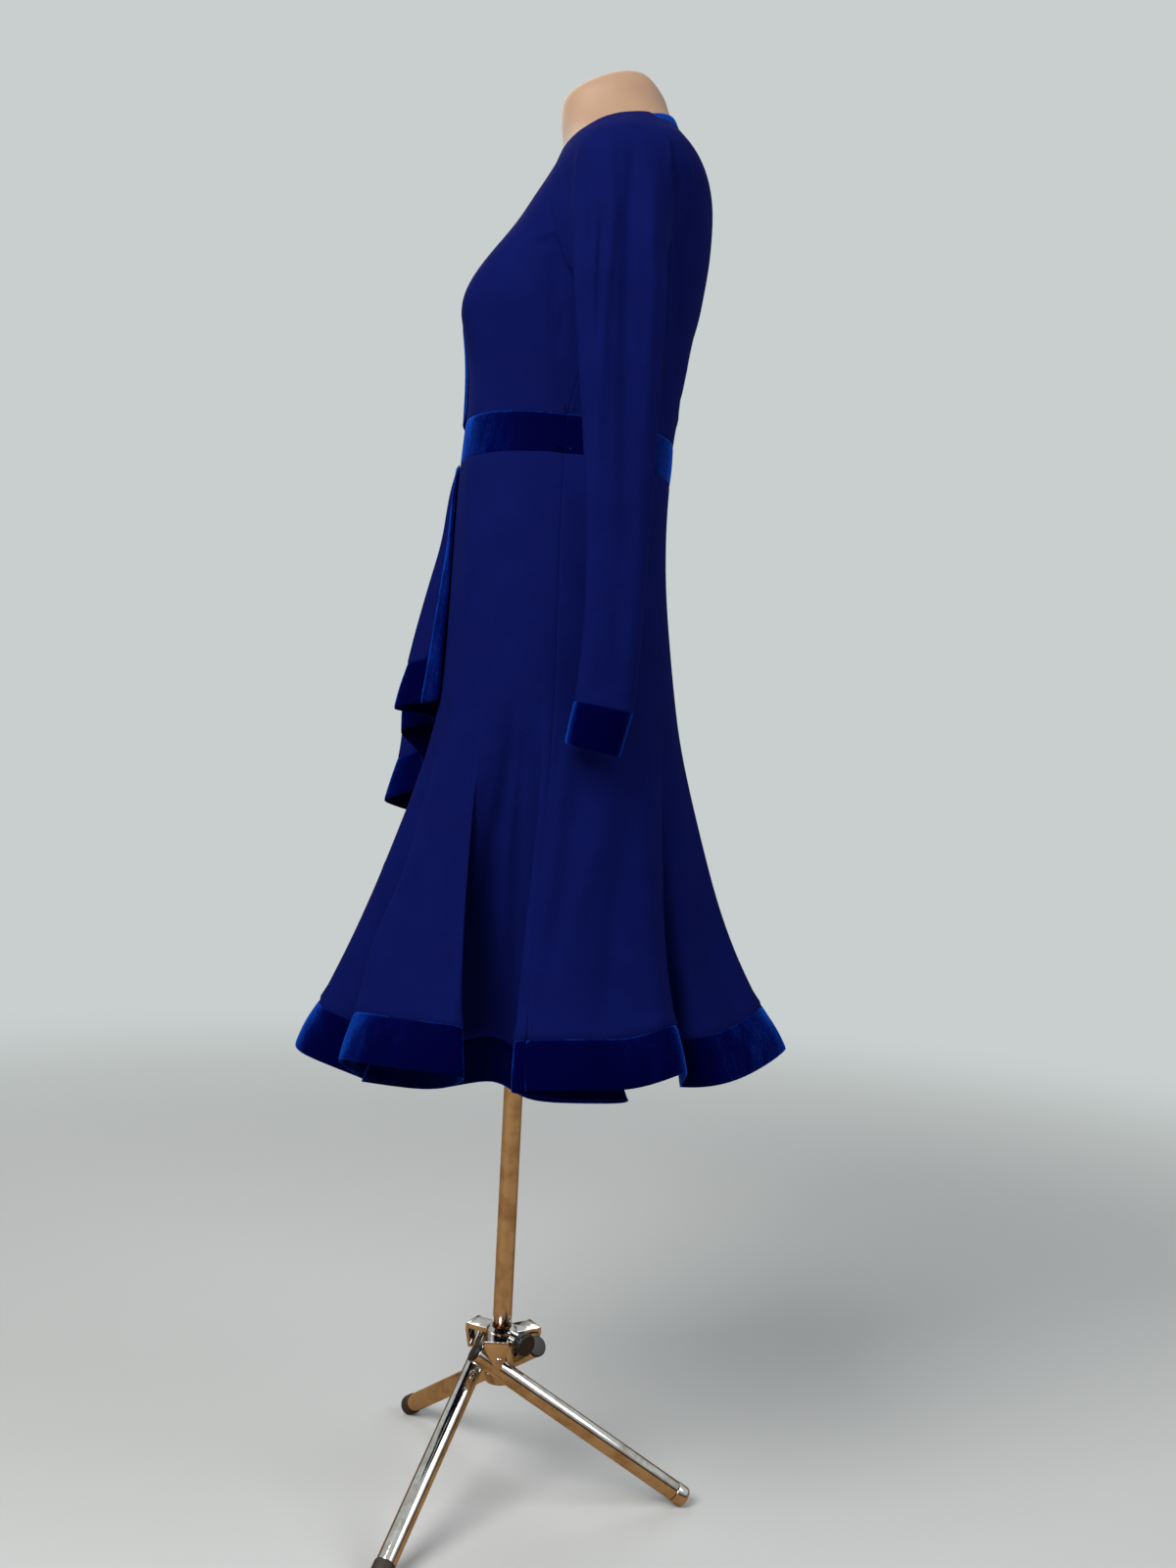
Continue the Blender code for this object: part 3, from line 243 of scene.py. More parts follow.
# %% Crepe
def crepe_material():
    material, tree = new_material("royal_blue_stretch_crepe")
    place = add_node(tree, "ShaderNodeTexCoord")
    pebbles = add_noise(tree, place.outputs["Object"], 850.0, 2.0, 0.6)
    cloudy = add_noise(tree, place.outputs["Object"], 22.0, 3.0)
    speck = add_node(tree, "ShaderNodeMath", {0: pebbles, 1: 0.5, 2: 0.25}, operation="MULTIPLY_ADD")
    tone = add_node(tree, "ShaderNodeMath", {
        0: cloudy, 1: 0.5, 2: speck.outputs["Value"],
    }, operation="MULTIPLY_ADD")
    cloth = add_node(tree, "ShaderNodeBsdfPrincipled", {
        "Base Color": add_ramp(tree, tone.outputs["Value"], (0.40, "#070d42"), (1.00, "#0c1556")),
        "Roughness": 0.85, "Specular IOR Level": 0.02,
        "Sheen Weight": 0.015, "Sheen Roughness": 0.5, "Sheen Tint": linear("#2f45ff"),
        "Normal": add_relief(tree, pebbles, 0.35, 0.0005),
    })
    finish_material(tree, cloth.outputs["BSDF"])
    return material


crepe = crepe_material()
print("material:", crepe.name)

# %% [markdown]
# The trims are stretch velvet: a dense upright pile of shiny fibres. Seen from straight on, one looks down
# between the fibres into the dark; seen across, their sides catch the light. So the cloth is nearly black
# in the middle and bright blue toward its edges: a faint shader sheen, plus painted sheen, a base colour that
# turns bright blue with the angle. Hands and seams stroke the pile this way and that, so the painted sheen
# also lifts patches about 40 mm across at any angle, with painted glints of single tufts 1 mm wide (real
# tufts are 0.3 mm and would vanish). The narrow border down the cascade is cut with its pile the other way,
# so its copy of the material has the painted sheen raised all over and looks brushed up and bright.

# %% Velvet
def velvet_material(name, sheen_lift=0.0):
    material, tree = new_material(name)
    place = add_node(tree, "ShaderNodeTexCoord")
    combed = add_node(tree, "ShaderNodeMapping", {
        "Vector": place.outputs["Object"], "Scale": (1.0, 1.0, 0.28),
    })
    fibres = add_noise(tree, combed.outputs["Vector"], 900.0, 3.0, 0.7)
    brushed = add_noise(tree, combed.outputs["Vector"], 60.0, 3.0, 0.6)
    patches = add_noise(tree, combed.outputs["Vector"], 26.0, 4.0, 0.6)
    pile = add_relief(tree, fibres, 0.7, 0.0008)
    lay = add_relief(tree, brushed, 0.35, 0.003, Normal=pile)
    # Painted sheen: the base colour turns from near black to bright blue as the surface turns away from the
    # view.
    edge = add_node(tree, "ShaderNodeLayerWeight", {"Blend": 0.42, "Normal": lay})
    # Painted sheen patches, and painted glints of single tufts below, lift the same colour at any angle.
    sheen_patches = add_node(tree, "ShaderNodeMapRange", {
        "Value": patches, "From Min": 0.42, "From Max": 0.72, "To Min": sheen_lift, "To Max": sheen_lift + 0.30,
    })
    sheen_glints = add_node(tree, "ShaderNodeMapRange", {
        "Value": fibres, "From Min": 0.50, "From Max": 0.78, "To Min": 0.0, "To Max": 0.28,
    })
    lifted = add_node(tree, "ShaderNodeMath", {
        0: edge.outputs["Facing"], 1: sheen_patches.outputs["Result"],
    }, operation="ADD")
    facing = add_node(tree, "ShaderNodeMath", {
        0: lifted.outputs["Value"], 1: sheen_glints.outputs["Result"],
    }, operation="ADD")
    shades = add_ramp(tree, facing.outputs["Value"],
                      (0.28, "#000130"), (0.55, "#010643"), (0.78, "#062377"), (0.98, "#0d52c4"))
    cloth = add_node(tree, "ShaderNodeBsdfPrincipled", {
        "Base Color": shades, "Roughness": 0.7, "Specular IOR Level": 0.008,
        "Sheen Weight": 0.03, "Sheen Roughness": 0.3, "Sheen Tint": linear("#0030ff"), "Normal": lay,
    })
    finish_material(tree, cloth.outputs["BSDF"])
    return material


velvet = velvet_material("navy_stretch_velvet")
# The border's copy has its painted sheen raised by 0.30 all over.
sheen_lifted_velvet = velvet_material("navy_stretch_velvet_brushed_up_painted_sheen", sheen_lift=0.30)
print("materials:", velvet.name, sheen_lifted_velvet.name)

# %% [markdown]
# In CAD each cloth is a wall: an outer face, an inner face, and a narrow rim between them. The outer face
# is the drawing of the cloth. Faces just one wall wide are set aside as the rim, which frees two skins, and
# the one that looks away from the wearer is kept. Some faces are set aside by chance: a ray sent in from
# them leaves the cloth at once, and the surface runs on over them without a sharp turn. A part of the skin
# behind such a bridge is added, and so are the faces whose corners are all on the skin.

# %% The outer face of a cloth
WELD = 0.000002
RIM_SLACK = 0.00006
THROUGH = 2.2       # walls that a ray may cross from a skin
FLAT_ON = 0.55      # cosine of the sharpest turn onto a bridge
FLAT_TWIN = 0.90    # the same between the two triangles of one square
SMALLER = 0.8       # a part of the skin is smaller than this share of the main one


def skins(faces):
    left = set(faces)
    found = []
    while left:
        front = [left.pop()]
        skin = list(front)
        while front:
            beside = {near for edge in front.pop().edges for near in edge.link_faces} & left
            left -= beside
            front += beside
            skin += beside
        found.append(skin)
    return found


def looks_out(skin, inside):
    middle = Vector((*inside, 0.0))
    total = 0.0
    for face in skin:
        away = face.calc_center_median() - middle
        total += face.calc_area() * (face.normal.x * away.x + face.normal.y * away.y)
    return total


def beside_it(face, faces, least):
    return [other for edge in face.edges for other in edge.link_faces
            if other is not face and other in faces and face.normal.dot(other.normal) > least]


def bridged(skin, kept, bridge):
    for face in skin:
        for first in beside_it(face, bridge, FLAT_ON):
            if beside_it(first, kept, FLAT_ON):
                return True
            if any(beside_it(second, kept, FLAT_ON) for second in beside_it(first, bridge, FLAT_TWIN)):
                return True
    return False


def outer_face(node, wall, inside):
    mesh = bmesh.new()
    mesh.from_mesh(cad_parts[node].data)
    bmesh.ops.remove_doubles(mesh, verts=mesh.verts, dist=WELD)
    mesh.normal_update()
    tree = BVHTree.FromBMesh(mesh)
    rim, narrow = set(), set()
    for face in mesh.faces:
        if any(abs(edge.calc_length() - wall) < RIM_SLACK for edge in face.edges):
            narrow.add(face)
            start = face.calc_center_median() - face.normal * RIM_SLACK
            through = tree.ray_cast(start, -face.normal)[3]
            if through is None or through > THROUGH * wall:
                rim.add(face)
    kept = set(max(skins(set(mesh.faces) - narrow), key=lambda skin: looks_out(skin, inside)))
    rest = [skin for skin in skins(set(mesh.faces) - narrow) if len(skin) < SMALLER * len(kept)]
    bridge = narrow - rim
    joined = True
    while joined:
        joined = [skin for skin in rest if bridged(skin, kept, bridge)]
        rest = [skin for skin in rest if skin not in joined]
        for skin in joined:
            kept |= set(skin)
    corners = {vert for face in kept for vert in face.verts}
    kept |= {face for face in narrow if corners.issuperset(face.verts)}
    bmesh.ops.delete(mesh, geom=[face for face in mesh.faces if face not in kept], context="FACES")
    return mesh


def edge_loops(mesh):
    """How many closed edges a skin has: one for a panel, two for a tube."""
    left = {vert for vert in mesh.verts if vert.is_boundary}
    loops = 0
    while left:
        loops += 1
        front = [left.pop()]
        while front:
            vert = front.pop()
            beside = {edge.other_vert(vert) for edge in vert.link_edges if edge.is_boundary} & left
            left -= beside
            front += beside
    return loops


# %% [markdown]
# The CAD export splits every square into two triangles, and subdivision likes squares. They are paired again,
# with three strengths of the pull toward regular rows, and the try that leaves the fewest triangles is kept.

# %% Triangles back into squares
PULLS = (1.3, 2.0, 1.0)


def into_squares(mesh):
    tries = []
    for pull in PULLS:
        attempt = mesh.copy()
        bmesh.ops.join_triangles(attempt, faces=attempt.faces, angle_face_threshold=math.pi,
                                 angle_shape_threshold=math.pi, topology_influence=pull)
        left = sum(len(face.verts) == 3 for face in attempt.faces)
        tries.append((left, len(tries), attempt))
    return min(tries)[2]


# %% [markdown]
# A seam or hem is crisp beside a soft cloth. A narrow strip of faces along every edge keeps it crisp while
# subdivision rounds the rest, the way a maker's pressing does. Subdivision then turns the squares into a
# smooth, dense skin.

# %% Smooth skin
def pin_corners(mesh):
    pinned = mesh.verts.layers.float.new("crease_vert")
    for vert in mesh.verts:
        if vert.is_boundary and len(vert.link_faces) == 1:
            vert[pinned] = 1.0


def smooth_skin(name, mesh, strip, levels):
    pin_corners(mesh)
    bmesh.ops.inset_region(mesh, faces=mesh.faces, thickness=strip, use_boundary=True,
                           use_even_offset=True)
    data = bpy.data.meshes.new(name)
    mesh.to_mesh(data)
    mesh.free()
    rough = new_object(name, data)
    divide = rough.modifiers.new("smooth", "SUBSURF")
    divide.levels = divide.render_levels = levels
    bpy.context.view_layer.update()
    done = bpy.data.meshes.new_from_object(rough.evaluated_get(bpy.context.evaluated_depsgraph_get()))
    rough.modifiers.clear()
    rough.data = done
    bpy.data.meshes.remove(data)
    for face in done.polygons:
        face.use_smooth = True
    return rough


# %% [markdown]
# Folds are listed one by one, each as a line round the body: angle in degrees (-90 is the middle of the
# front,
# 0 the left side, 90 the middle of the back), height in metres, half width and depth in millimetres. A
# point near the line moves along its normal, most on the line and less beside it, like a thumb's stroke.
# Depth is positive for a ridge, negative for a trough, and runs to 0 where a fold dies out.

# %% Folds listed one by one
def strokes(folds, high, across):
    """How far the folds push points at these heights; across says how far beside them a fold's place is."""
    total = np.zeros(len(high))
    for fold in folds:
        push, nearest = np.zeros(len(high)), np.full(len(high), np.inf)
        for start, end in zip(fold, fold[1:]):
            beside, up = across(start[0]), start[1] - high
            run, rise = across(end[0]) - beside, end[1] - start[1]
            share = np.clip(-(beside * run + up * rise) / (run ** 2 + rise ** 2), 0.0, 1.0)
            away = np.hypot(beside + share * run, up + share * rise)
            half, deep = [(start[i] + (end[i] - start[i]) * share) / 1000 for i in (2, 3)]
            push = np.where(away < nearest, deep * np.exp(-(away / half) ** 2), push)
            nearest = np.minimum(away, nearest)
        total += push
    return total


def fold_push(points, inside, folds):
    east, north = points[:, 0] - inside[0], points[:, 1] - inside[1]
    radius, angle = np.hypot(east, north), np.degrees(np.arctan2(north, east))
    return strokes(folds, points[:, 2], lambda place: np.radians((place - angle + 180) % 360 - 180) * radius)


# %% [markdown]
# Folds on the two sides of the dress are easier to place as one sees them there, in a side view: depth Y and
# height in metres, half width and depth in millimetres. They fade out where the cloth turns to the front or
# back, and the unseen side gets the same kind of folds, a little moved and shallower. Shallow folds hardly
# show in soft light, so all are drawn twice as deep, and a curve that levels off keeps them under 6.5 mm.

# %% Folds in the side view
FOLDS_DEEPER, FOLDS_MOST = 2.0, 0.0065
SIDE_FADE = 1.6
FAR_MOVED, FAR_SHARE = 0.003, 0.8


def side_push(points, normals, folds):
    near = points[:, 0] > 0
    facing = np.clip(np.abs(normals[:, 0]) * SIDE_FADE, 0.0, 1.0)
    facing = np.where(normals[:, 0] * points[:, 0] > 0, facing, 0.0)
    deep = points[:, 1] - np.where(near, 0.0, FAR_MOVED)
    total = strokes(folds, points[:, 2], lambda place: place - deep)
    total = FOLDS_MOST * np.tanh(FOLDS_DEEPER * total / FOLDS_MOST)
    return total * facing * np.where(near, 1.0, FAR_SHARE)


# %% [markdown]
# Sewn edges turn a little inward, where the seam pulls them, and lap 0.8 mm under the next piece. The turn is
# 0.6 mm deep and fades out over 3 mm, so a seam reads as a fine groove. Two seams still aren't closed: those
# on both sides of the back gore stand up to 4.3 mm open toward the hem.

# %% Sewn edges
TURN_DEEP = 0.0006
TURN_WIDE = 0.003
LAP = 0.0008


def coordinates(data, kind="vertices", what="co"):
    items = getattr(data, kind)
    values = np.empty(len(items) * 3)
    items.foreach_get(what, values)
    return values.reshape(-1, 3)


def sewn_edges(data, points):
    """How far each point turns inward, and how far it laps outward over the next piece."""
    mesh = bmesh.new()
    mesh.from_mesh(data)
    rim, lap = [], np.zeros((len(points), 3))
    for vert in mesh.verts:
        if vert.is_boundary:
            rim.append(vert.index)
            inner = [edge.other_vert(vert) for edge in vert.link_edges if not edge.is_boundary]
            if inner:
                back = sum((other.co for other in inner), Vector()) / len(inner)
                lap[vert.index] = (vert.co - back).normalized() * LAP
    mesh.free()
    away = np.full(len(points), np.inf)
    for block in np.array_split(np.array(rim), max(1, len(rim) // 64)):
        gap = points[:, None, :] - points[block][None, :, :]
        away = np.minimum(away, np.sqrt((gap ** 2).sum(axis=2)).min(axis=1))
    return -TURN_DEEP * np.clip(1 - away / TURN_WIDE, 0, 1) ** 2, lap


# %% [markdown]
# Over the stiff hem bands the soft crepe bulges in a low roll before it dips to the seam. The roll follows
# the band at a steady distance, so it is found with a tree of the band's faces that answers how near each
# point is. A second tree, of the dress form, keeps every trough clear of the plastic under it.

# %% Rolls and clearances
ROLL_HIGH, ROLL_AT, ROLL_WIDE = 0.0018, 0.0075, 0.0048
CLOTH_THICK, FORM_CLEAR = 0.0009, 0.0006
REACH = 0.05        # how far away a face is looked for


def face_tree(node):
    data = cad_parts[node].data
    return BVHTree.FromPolygons([vert.co for vert in data.vertices],
                                [face.vertices for face in data.polygons])


def distances(tree, points):
    return np.array([tree.find_nearest(point, REACH)[3] or REACH for point in points])


def hem_roll(points, node):
    band = face_tree(node.replace("gore", "band"))
    away = distances(band, points)
    return ROLL_HIGH * np.exp(-((away - ROLL_AT) / ROLL_WIDE) ** 2)


def clear_of_form(points, push):
    room = distances(form_faces, points) - CLOTH_THICK - FORM_CLEAR
    return np.maximum(push, -np.maximum(room, 0.0))


form_faces = face_tree("dress_form")
print("form faces to keep clear of:", len(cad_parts["dress_form"].data.polygons))

# %% [markdown]
# Two places need a touch after sewing. The inner fold of each front flute swings forward, by up to
# 26.5 mm at the hem, to close a notch that the CAD leaves under it in the side view. Every gore and band gets
# the same swing, so no seam opens. The velvet strip hangs free down its middle while its two sides reach back
# to the bodice, as the stitches that hold it pull them.

# %% Touches after sewing
SWING_FROM, SWING_WIDE, SWING_HIGH = Vector((0.134, -0.163, 0.510)), 0.024, 0.260
SWING = np.array((0.0, -0.0265, 0.003))
STRIP_FREE, STRIP_SIDE, STRIP_GAP, STRIP_REACH = 0.006, 0.009, 0.0016, 0.03
BACKWARD = Vector((0.0, 1.0, 0.0))


def ease(share):
    return share ** 2 * (3.0 - 2.0 * share)


def swing_fold(points):
    away = np.hypot(np.abs(points[:, 0]) - SWING_FROM.x, points[:, 1] - SWING_FROM.y)
    high = np.clip((points[:, 2] - SWING_FROM.z) / SWING_HIGH, 0.0, 1.0)
    share = np.exp(-(away / SWING_WIDE) ** 2) * (1.0 - ease(high))
    return share[:, None] * SWING


def strip_back(points):
    bodice = face_tree("bodice_front")
    share = ease(np.clip((np.abs(points[:, 0]) - STRIP_FREE) / STRIP_SIDE, 0.0, 1.0))
    moved = np.zeros((len(points), 3))
    for index, point in enumerate(points):
        gap = bodice.ray_cast(Vector(point), BACKWARD, STRIP_REACH)[3]
        if gap is not None and gap > STRIP_GAP:
            moved[index, 1] = share[index] * (gap - STRIP_GAP)
    return moved


# %% [markdown]
# One function makes every cloth: it takes the outer face, smooths it, strokes in the folds, turns the edges,
# and gives the sheet its thickness. The new sheet replaces the CAD wall and rides on the figure.

# %% Make a cloth
def make_cloth(node, wall, inside, levels=2, strip=0.003, folds=(), side_folds=(), touch=None):
    face = outer_face(node, wall, inside)
    loops = edge_loops(face)
    skin = smooth_skin(node + "_cloth", into_squares(face), strip, levels)
    points = coordinates(skin.data)
    normals = coordinates(skin.data, "vertex_normals", "vector")
    turn, lap = sewn_edges(skin.data, points)
    push = fold_push(points, inside, folds) + side_push(points, normals, side_folds)
    if node.startswith("gore"):
        push += hem_roll(points, node)
    push = clear_of_form(points, push)
    points += normals * (push + turn)[:, None] + lap
    if touch:
        points += touch(points)
    skin.data.vertices.foreach_set("co", points.ravel())
    skin.data.update()
    body = skin.modifiers.new("thickness", "SOLIDIFY")
    body.thickness = CLOTH_THICK
    body.offset = -1.0
    area = sum(face.area for face in skin.data.polygons)
    print(f"{skin.name}: {len(skin.data.polygons)} faces, {loops} edges, {area:.4f} m2")
    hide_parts(node)
    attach(skin, "figure")
    return skin


# %% [markdown]
# The dress form is a limbless torso, moulded in skin-tone plastic with a satin face. The mould is polished,
# so the surface is even, with a very slight unevenness and a soft, wide highlight.

# %% Form plastic
def form_material():
    material, tree = new_material("satin_moulded_polyethylene")
    place = add_node(tree, "ShaderNodeTexCoord")
    mottle = add_noise(tree, place.outputs["Object"], 14.0, 4.0, 0.55)
    peel = add_noise(tree, place.outputs["Object"], 260.0, 2.0)
    plastic = add_node(tree, "ShaderNodeBsdfPrincipled", {
        "Base Color": add_ramp(tree, mottle, (0.3, "#a38068"), (0.7, "#ab8a70")),
        "Roughness": 0.48, "IOR": 1.5, "Normal": add_relief(tree, peel, 0.12, 0.0006),
    })
    finish_material(tree, plastic.outputs["BSDF"])
    return material


form_plastic = form_material()
print("material:", form_plastic.name)

# %% [markdown]
# The torso keeps its CAD shape. Its triangles are paired into squares, and subdivision makes them smooth.

# %% Dress form
def make_form():
    mesh = bmesh.new()
    mesh.from_mesh(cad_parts["dress_form"].data)
    bmesh.ops.remove_doubles(mesh, verts=mesh.verts, dist=WELD)
    mesh = into_squares(mesh)
    data = bpy.data.meshes.new("form_body")
    mesh.to_mesh(data)
    mesh.free()
    for face in data.polygons:
        face.use_smooth = True
    form = new_object("form_body", data)
    divide = form.modifiers.new("smooth", "SUBSURF")
    divide.levels = divide.render_levels = 2
    data.materials.append(form_plastic)
    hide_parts("dress_form")
    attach(form, "figure")
    return form


form = make_form()
print("form faces:", len(form.data.polygons))

# %% [markdown]
# A raglan sleeve hangs straight from the shoulder, so its spare width falls into long soft folds that start
# at the shoulder and die out below the elbow: crisp ones at its front and back edge, a broad trough down its
# middle. Each is drawn from the photograph in its own width and depth.

# %% Sleeve folds
SLEEVE_FOLDS = (
    ((-0.0060, 1.505, 3.0, 0.0), (-0.0055, 1.485, 3.2, 1.3), (-0.0052, 1.439, 3.4, 2.0),
     (-0.0044, 1.404, 3.4, 2.0), (-0.0016, 1.348, 3.4, 1.6), (0.0040, 1.280, 4.0, 0.5),
     (0.008, 1.20, 4.0, 0.0)),
    ((0.0020, 1.462, 4.0, 0.0), (0.0029, 1.441, 4.2, -1.2), (0.0067, 1.385, 4.2, -1.7),
     (0.0087, 1.344, 4.2, -1.5), (0.0120, 1.270, 5.0, 0.0)),
    ((0.0150, 1.435, 3.6, 0.0), (0.0155, 1.400, 3.6, 0.8), (0.0170, 1.340, 3.8, 0.7),
     (0.0200, 1.280, 4.0, 0.0)),
    ((0.0225, 1.425, 3.2, 0.0), (0.0228, 1.383, 3.4, -1.0), (0.0230, 1.337, 3.4, -1.0),
     (0.0260, 1.26, 4.0, 0.0)),
    ((0.0270, 1.515, 5.0, 0.0), (0.0286, 1.474, 6.0, 1.7), (0.0340, 1.424, 6.0, 2.3),
     (0.0318, 1.383, 5.5, 2.6),
     (0.0307, 1.343, 5.2, 2.4), (0.0300, 1.250, 6.0, 1.5), (0.0290, 1.150, 7.0, 0.9),
     (0.0300, 1.04, 7.0, 0.0)),
    ((0.0500, 1.512, 6.0, 0.0), (0.0517, 1.479, 7.0, -1.6), (0.0499, 1.426, 7.0, -2.4),
     (0.0517, 1.385, 7.5, -3.0),
     (0.0525, 1.344, 8.0, -3.0), (0.0550, 1.250, 8.0, -2.0), (0.0586, 1.150, 8.0, -1.3),
     (0.0640, 1.03, 8.0, 0.0)),
    ((0.0720, 1.470, 6.0, 0.0), (0.0722, 1.449, 6.0, 0.9), (0.0746, 1.387, 6.0, 1.5),
     (0.0784, 1.347, 6.0, 1.3),
     (0.0780, 1.250, 7.0, 0.6), (0.0780, 1.160, 7.0, 0.0)),
    ((0.0880, 1.516, 3.0, 0.0), (0.0896, 1.492, 3.4, 1.9), (0.0915, 1.439, 3.4, 2.3),
     (0.0912, 1.400, 3.4, 2.3),
     (0.0905, 1.346, 3.8, 2.0), (0.0900, 1.250, 4.0, 1.2), (0.0880, 1.140, 4.0, 0.6),
     (0.085, 1.03, 4.0, 0.0)),
    ((0.0930, 1.516, 4.0, 0.0), (0.0945, 1.500, 4.4, -1.8), (0.0984, 1.470, 5.0, -3.0),
     (0.0985, 1.432, 5.0, -2.4),
     (0.0980, 1.395, 5.0, 0.0)),
    ((0.1095, 1.516, 5.0, 0.0), (0.1106, 1.498, 5.0, 1.2), (0.1162, 1.480, 5.0, 1.2),
     (0.1150, 1.455, 5.0, 0.0)),
    ((0.0360, 1.010, 6.0, 0.0), (0.0345, 0.985, 6.0, 0.9), (0.0338, 0.950, 6.0, 0.6),
     (0.0330, 0.93, 6.0, 0.0)),
    ((0.0560, 1.020, 7.0, 0.0), (0.0600, 0.985, 8.0, -0.9), (0.0610, 0.950, 8.0, -0.7),
     (0.0610, 0.93, 8.0, 0.0)),
)
print("sleeve folds:", len(SLEEVE_FOLDS))

# %% [markdown]
# The bodice is stretched smooth over the form. It creases only at the armpit, where the sleeve's seam pulls
# it, and softly round the back of the waist.

# %% Bodice folds
FRONT_SIDE_FOLDS = (
    ((-0.0500, 1.4080, 2.6, 0.0), (-0.0400, 1.4078, 3.0, -2.0), (-0.0300, 1.4084, 3.6, -3.4),
     (-0.0180, 1.4070, 3.6, -3.0)),
    ((-0.0560, 1.4180, 4.0, 0.0), (-0.0400, 1.4170, 4.0, 0.9), (-0.0260, 1.4190, 4.0, 0.9)),
    ((-0.0330, 1.3950, 5.0, 0.0), (-0.0240, 1.3700, 6.0, -1.4), (-0.0200, 1.3300, 7.0, -1.6),
     (-0.018, 1.28, 7.0, 0.0)),
)
BACK_SIDE_FOLDS = (
    ((0.1010, 1.4300, 5.0, 0.0), (0.1060, 1.3950, 5.5, -1.6), (0.1080, 1.3400, 6.0, -1.4),
     (0.106, 1.28, 6.0, 0.0)),
)
BACK_FOLDS = (
    ((62, 1.2400, 6.0, 0.0), (75, 1.2520, 6.5, 0.9), (90, 1.2550, 7.0, 1.1), (104, 1.2500, 6.5, 0.8),
     (116, 1.2420, 6.0, 0.0)),
    ((70, 1.2720, 6.0, 0.0), (84, 1.2790, 7.0, -0.9), (101, 1.2760, 7.0, -0.7), (112, 1.2700, 6.0, 0.0)),
    ((58, 1.2900, 6.0, 0.0), (70, 1.3040, 7.0, 0.8), (82, 1.3100, 7.0, 0.5), (90, 1.3120, 7.0, 0.0)),
    ((98, 1.3060, 6.0, 0.0), (108, 1.2990, 7.0, 0.7), (120, 1.2880, 6.0, 0.0)),
)
print("bodice folds:", len(FRONT_SIDE_FOLDS) + len(BACK_SIDE_FOLDS) + len(BACK_FOLDS))

# %% [markdown]
# The skirt's flutes are in the CAD. Between them the crepe also runs in faint long folds that spread from
# the hip, with deeper troughs where two flutes meet. The side view has the ones that the photograph shows,
# and the front and back get a few of the same kind.

# %% Skirt folds
SKIRT_SIDE_FOLDS = (
    ((-0.1152, 0.960, 10.0, 0.0), (-0.1152, 0.878, 12.0, 1.2), (-0.1190, 0.791, 12.0, 1.7),
     (-0.1277, 0.690, 13.0, 1.7), (-0.1384, 0.616, 13.0, 1.4), (-0.1420, 0.570, 12.0, 0.6)),
    ((-0.0917, 0.880, 7.0, 0.0), (-0.0917, 0.827, 8.0, -1.2), (-0.0951, 0.726, 9.0, -1.7),
     (-0.0978, 0.630, 9.0, -1.5), (-0.0990, 0.570, 9.0, -0.6)),
    ((-0.0820, 0.890, 5.0, 0.0), (-0.0820, 0.845, 5.5, 1.1), (-0.0780, 0.759, 6.0, 1.3),
     (-0.0803, 0.637, 6.0, 0.9),
     (-0.0820, 0.590, 6.0, 0.0)),
    ((-0.0450, 0.920, 7.0, 0.0), (-0.0476, 0.847, 8.0, -2.2), (-0.0576, 0.768, 9.0, -4.0),
     (-0.0616, 0.691, 10.0, -5.0), (-0.0716, 0.602, 10.0, -4.0), (-0.073, 0.57, 10.0, -1.0)),
    ((-0.0420, 0.850, 4.0, 0.0), (-0.0430, 0.810, 4.5, 0.8), (-0.0450, 0.750, 5.0, 0.9),
     (-0.0460, 0.66, 5.0, 0.0)),
    ((-0.0336, 0.885, 6.0, 0.0), (-0.0336, 0.838, 7.0, -1.6), (-0.0340, 0.780, 8.0, -2.2),
     (-0.0312, 0.624, 8.0, -2.2), (-0.0310, 0.58, 8.0, -0.6)),
    ((0.0143, 0.910, 6.0, 0.0), (0.0143, 0.854, 6.5, 1.2), (0.0070, 0.800, 7.0, 1.5),
     (0.0034, 0.734, 8.0, 1.5),
     (-0.0090, 0.652, 8.0, 1.2), (-0.0110, 0.590, 8.0, 0.0)),
    ((0.0300, 0.850, 8.0, 0.0), (0.0240, 0.780, 8.5, -1.0), (0.0160, 0.700, 9.0, -1.2),
     (0.0060, 0.630, 9.0, -0.7),
     (0.0030, 0.590, 9.0, 0.0)),
    ((0.0600, 0.870, 8.0, 0.0), (0.0569, 0.795, 9.0, 1.3), (0.0395, 0.735, 9.0, 1.5),
     (0.0198, 0.670, 10.0, 1.3),
     (0.0120, 0.620, 10.0, 0.0)),
    ((0.0765, 0.810, 9.0, 0.0), (0.0765, 0.748, 10.0, -1.4), (0.0698, 0.670, 11.0, -1.7),
     (0.0660, 0.600, 11.0, -1.0)),
    ((0.0952, 0.870, 7.0, 0.0), (0.0952, 0.802, 8.0, 1.2), (0.1057, 0.702, 9.0, 1.7),
     (0.1191, 0.620, 9.0, 1.2),
     (0.1230, 0.580, 9.0, 0.4)),
    ((0.1170, 0.850, 6.0, 0.0), (0.1192, 0.767, 7.0, -2.2), (0.1259, 0.666, 8.0, -3.6),
     (0.1377, 0.607, 8.0, -3.0),
     (0.1400, 0.570, 8.0, -1.0)),
    ((0.1290, 0.970, 8.0, 0.0), (0.1299, 0.909, 8.0, 0.9), (0.1410, 0.836, 9.0, 1.0),
     (0.1480, 0.770, 8.0, 0.3),
     (0.1509, 0.730, 8.0, 1.3), (0.1583, 0.628, 9.0, 1.3), (0.1600, 0.580, 9.0, 0.0)),
    ((0.1750, 0.760, 9.0, 0.0), (0.1796, 0.693, 10.0, -1.5), (0.2005, 0.620, 10.0, -1.6),
     (0.2100, 0.57, 10.0, -0.4)),
    ((-0.1600, 0.850, 8.0, 0.0), (-0.1700, 0.770, 8.0, 1.0), (-0.1850, 0.690, 9.0, 1.3),
     (-0.2050, 0.610, 9.0, 0.8)),
)
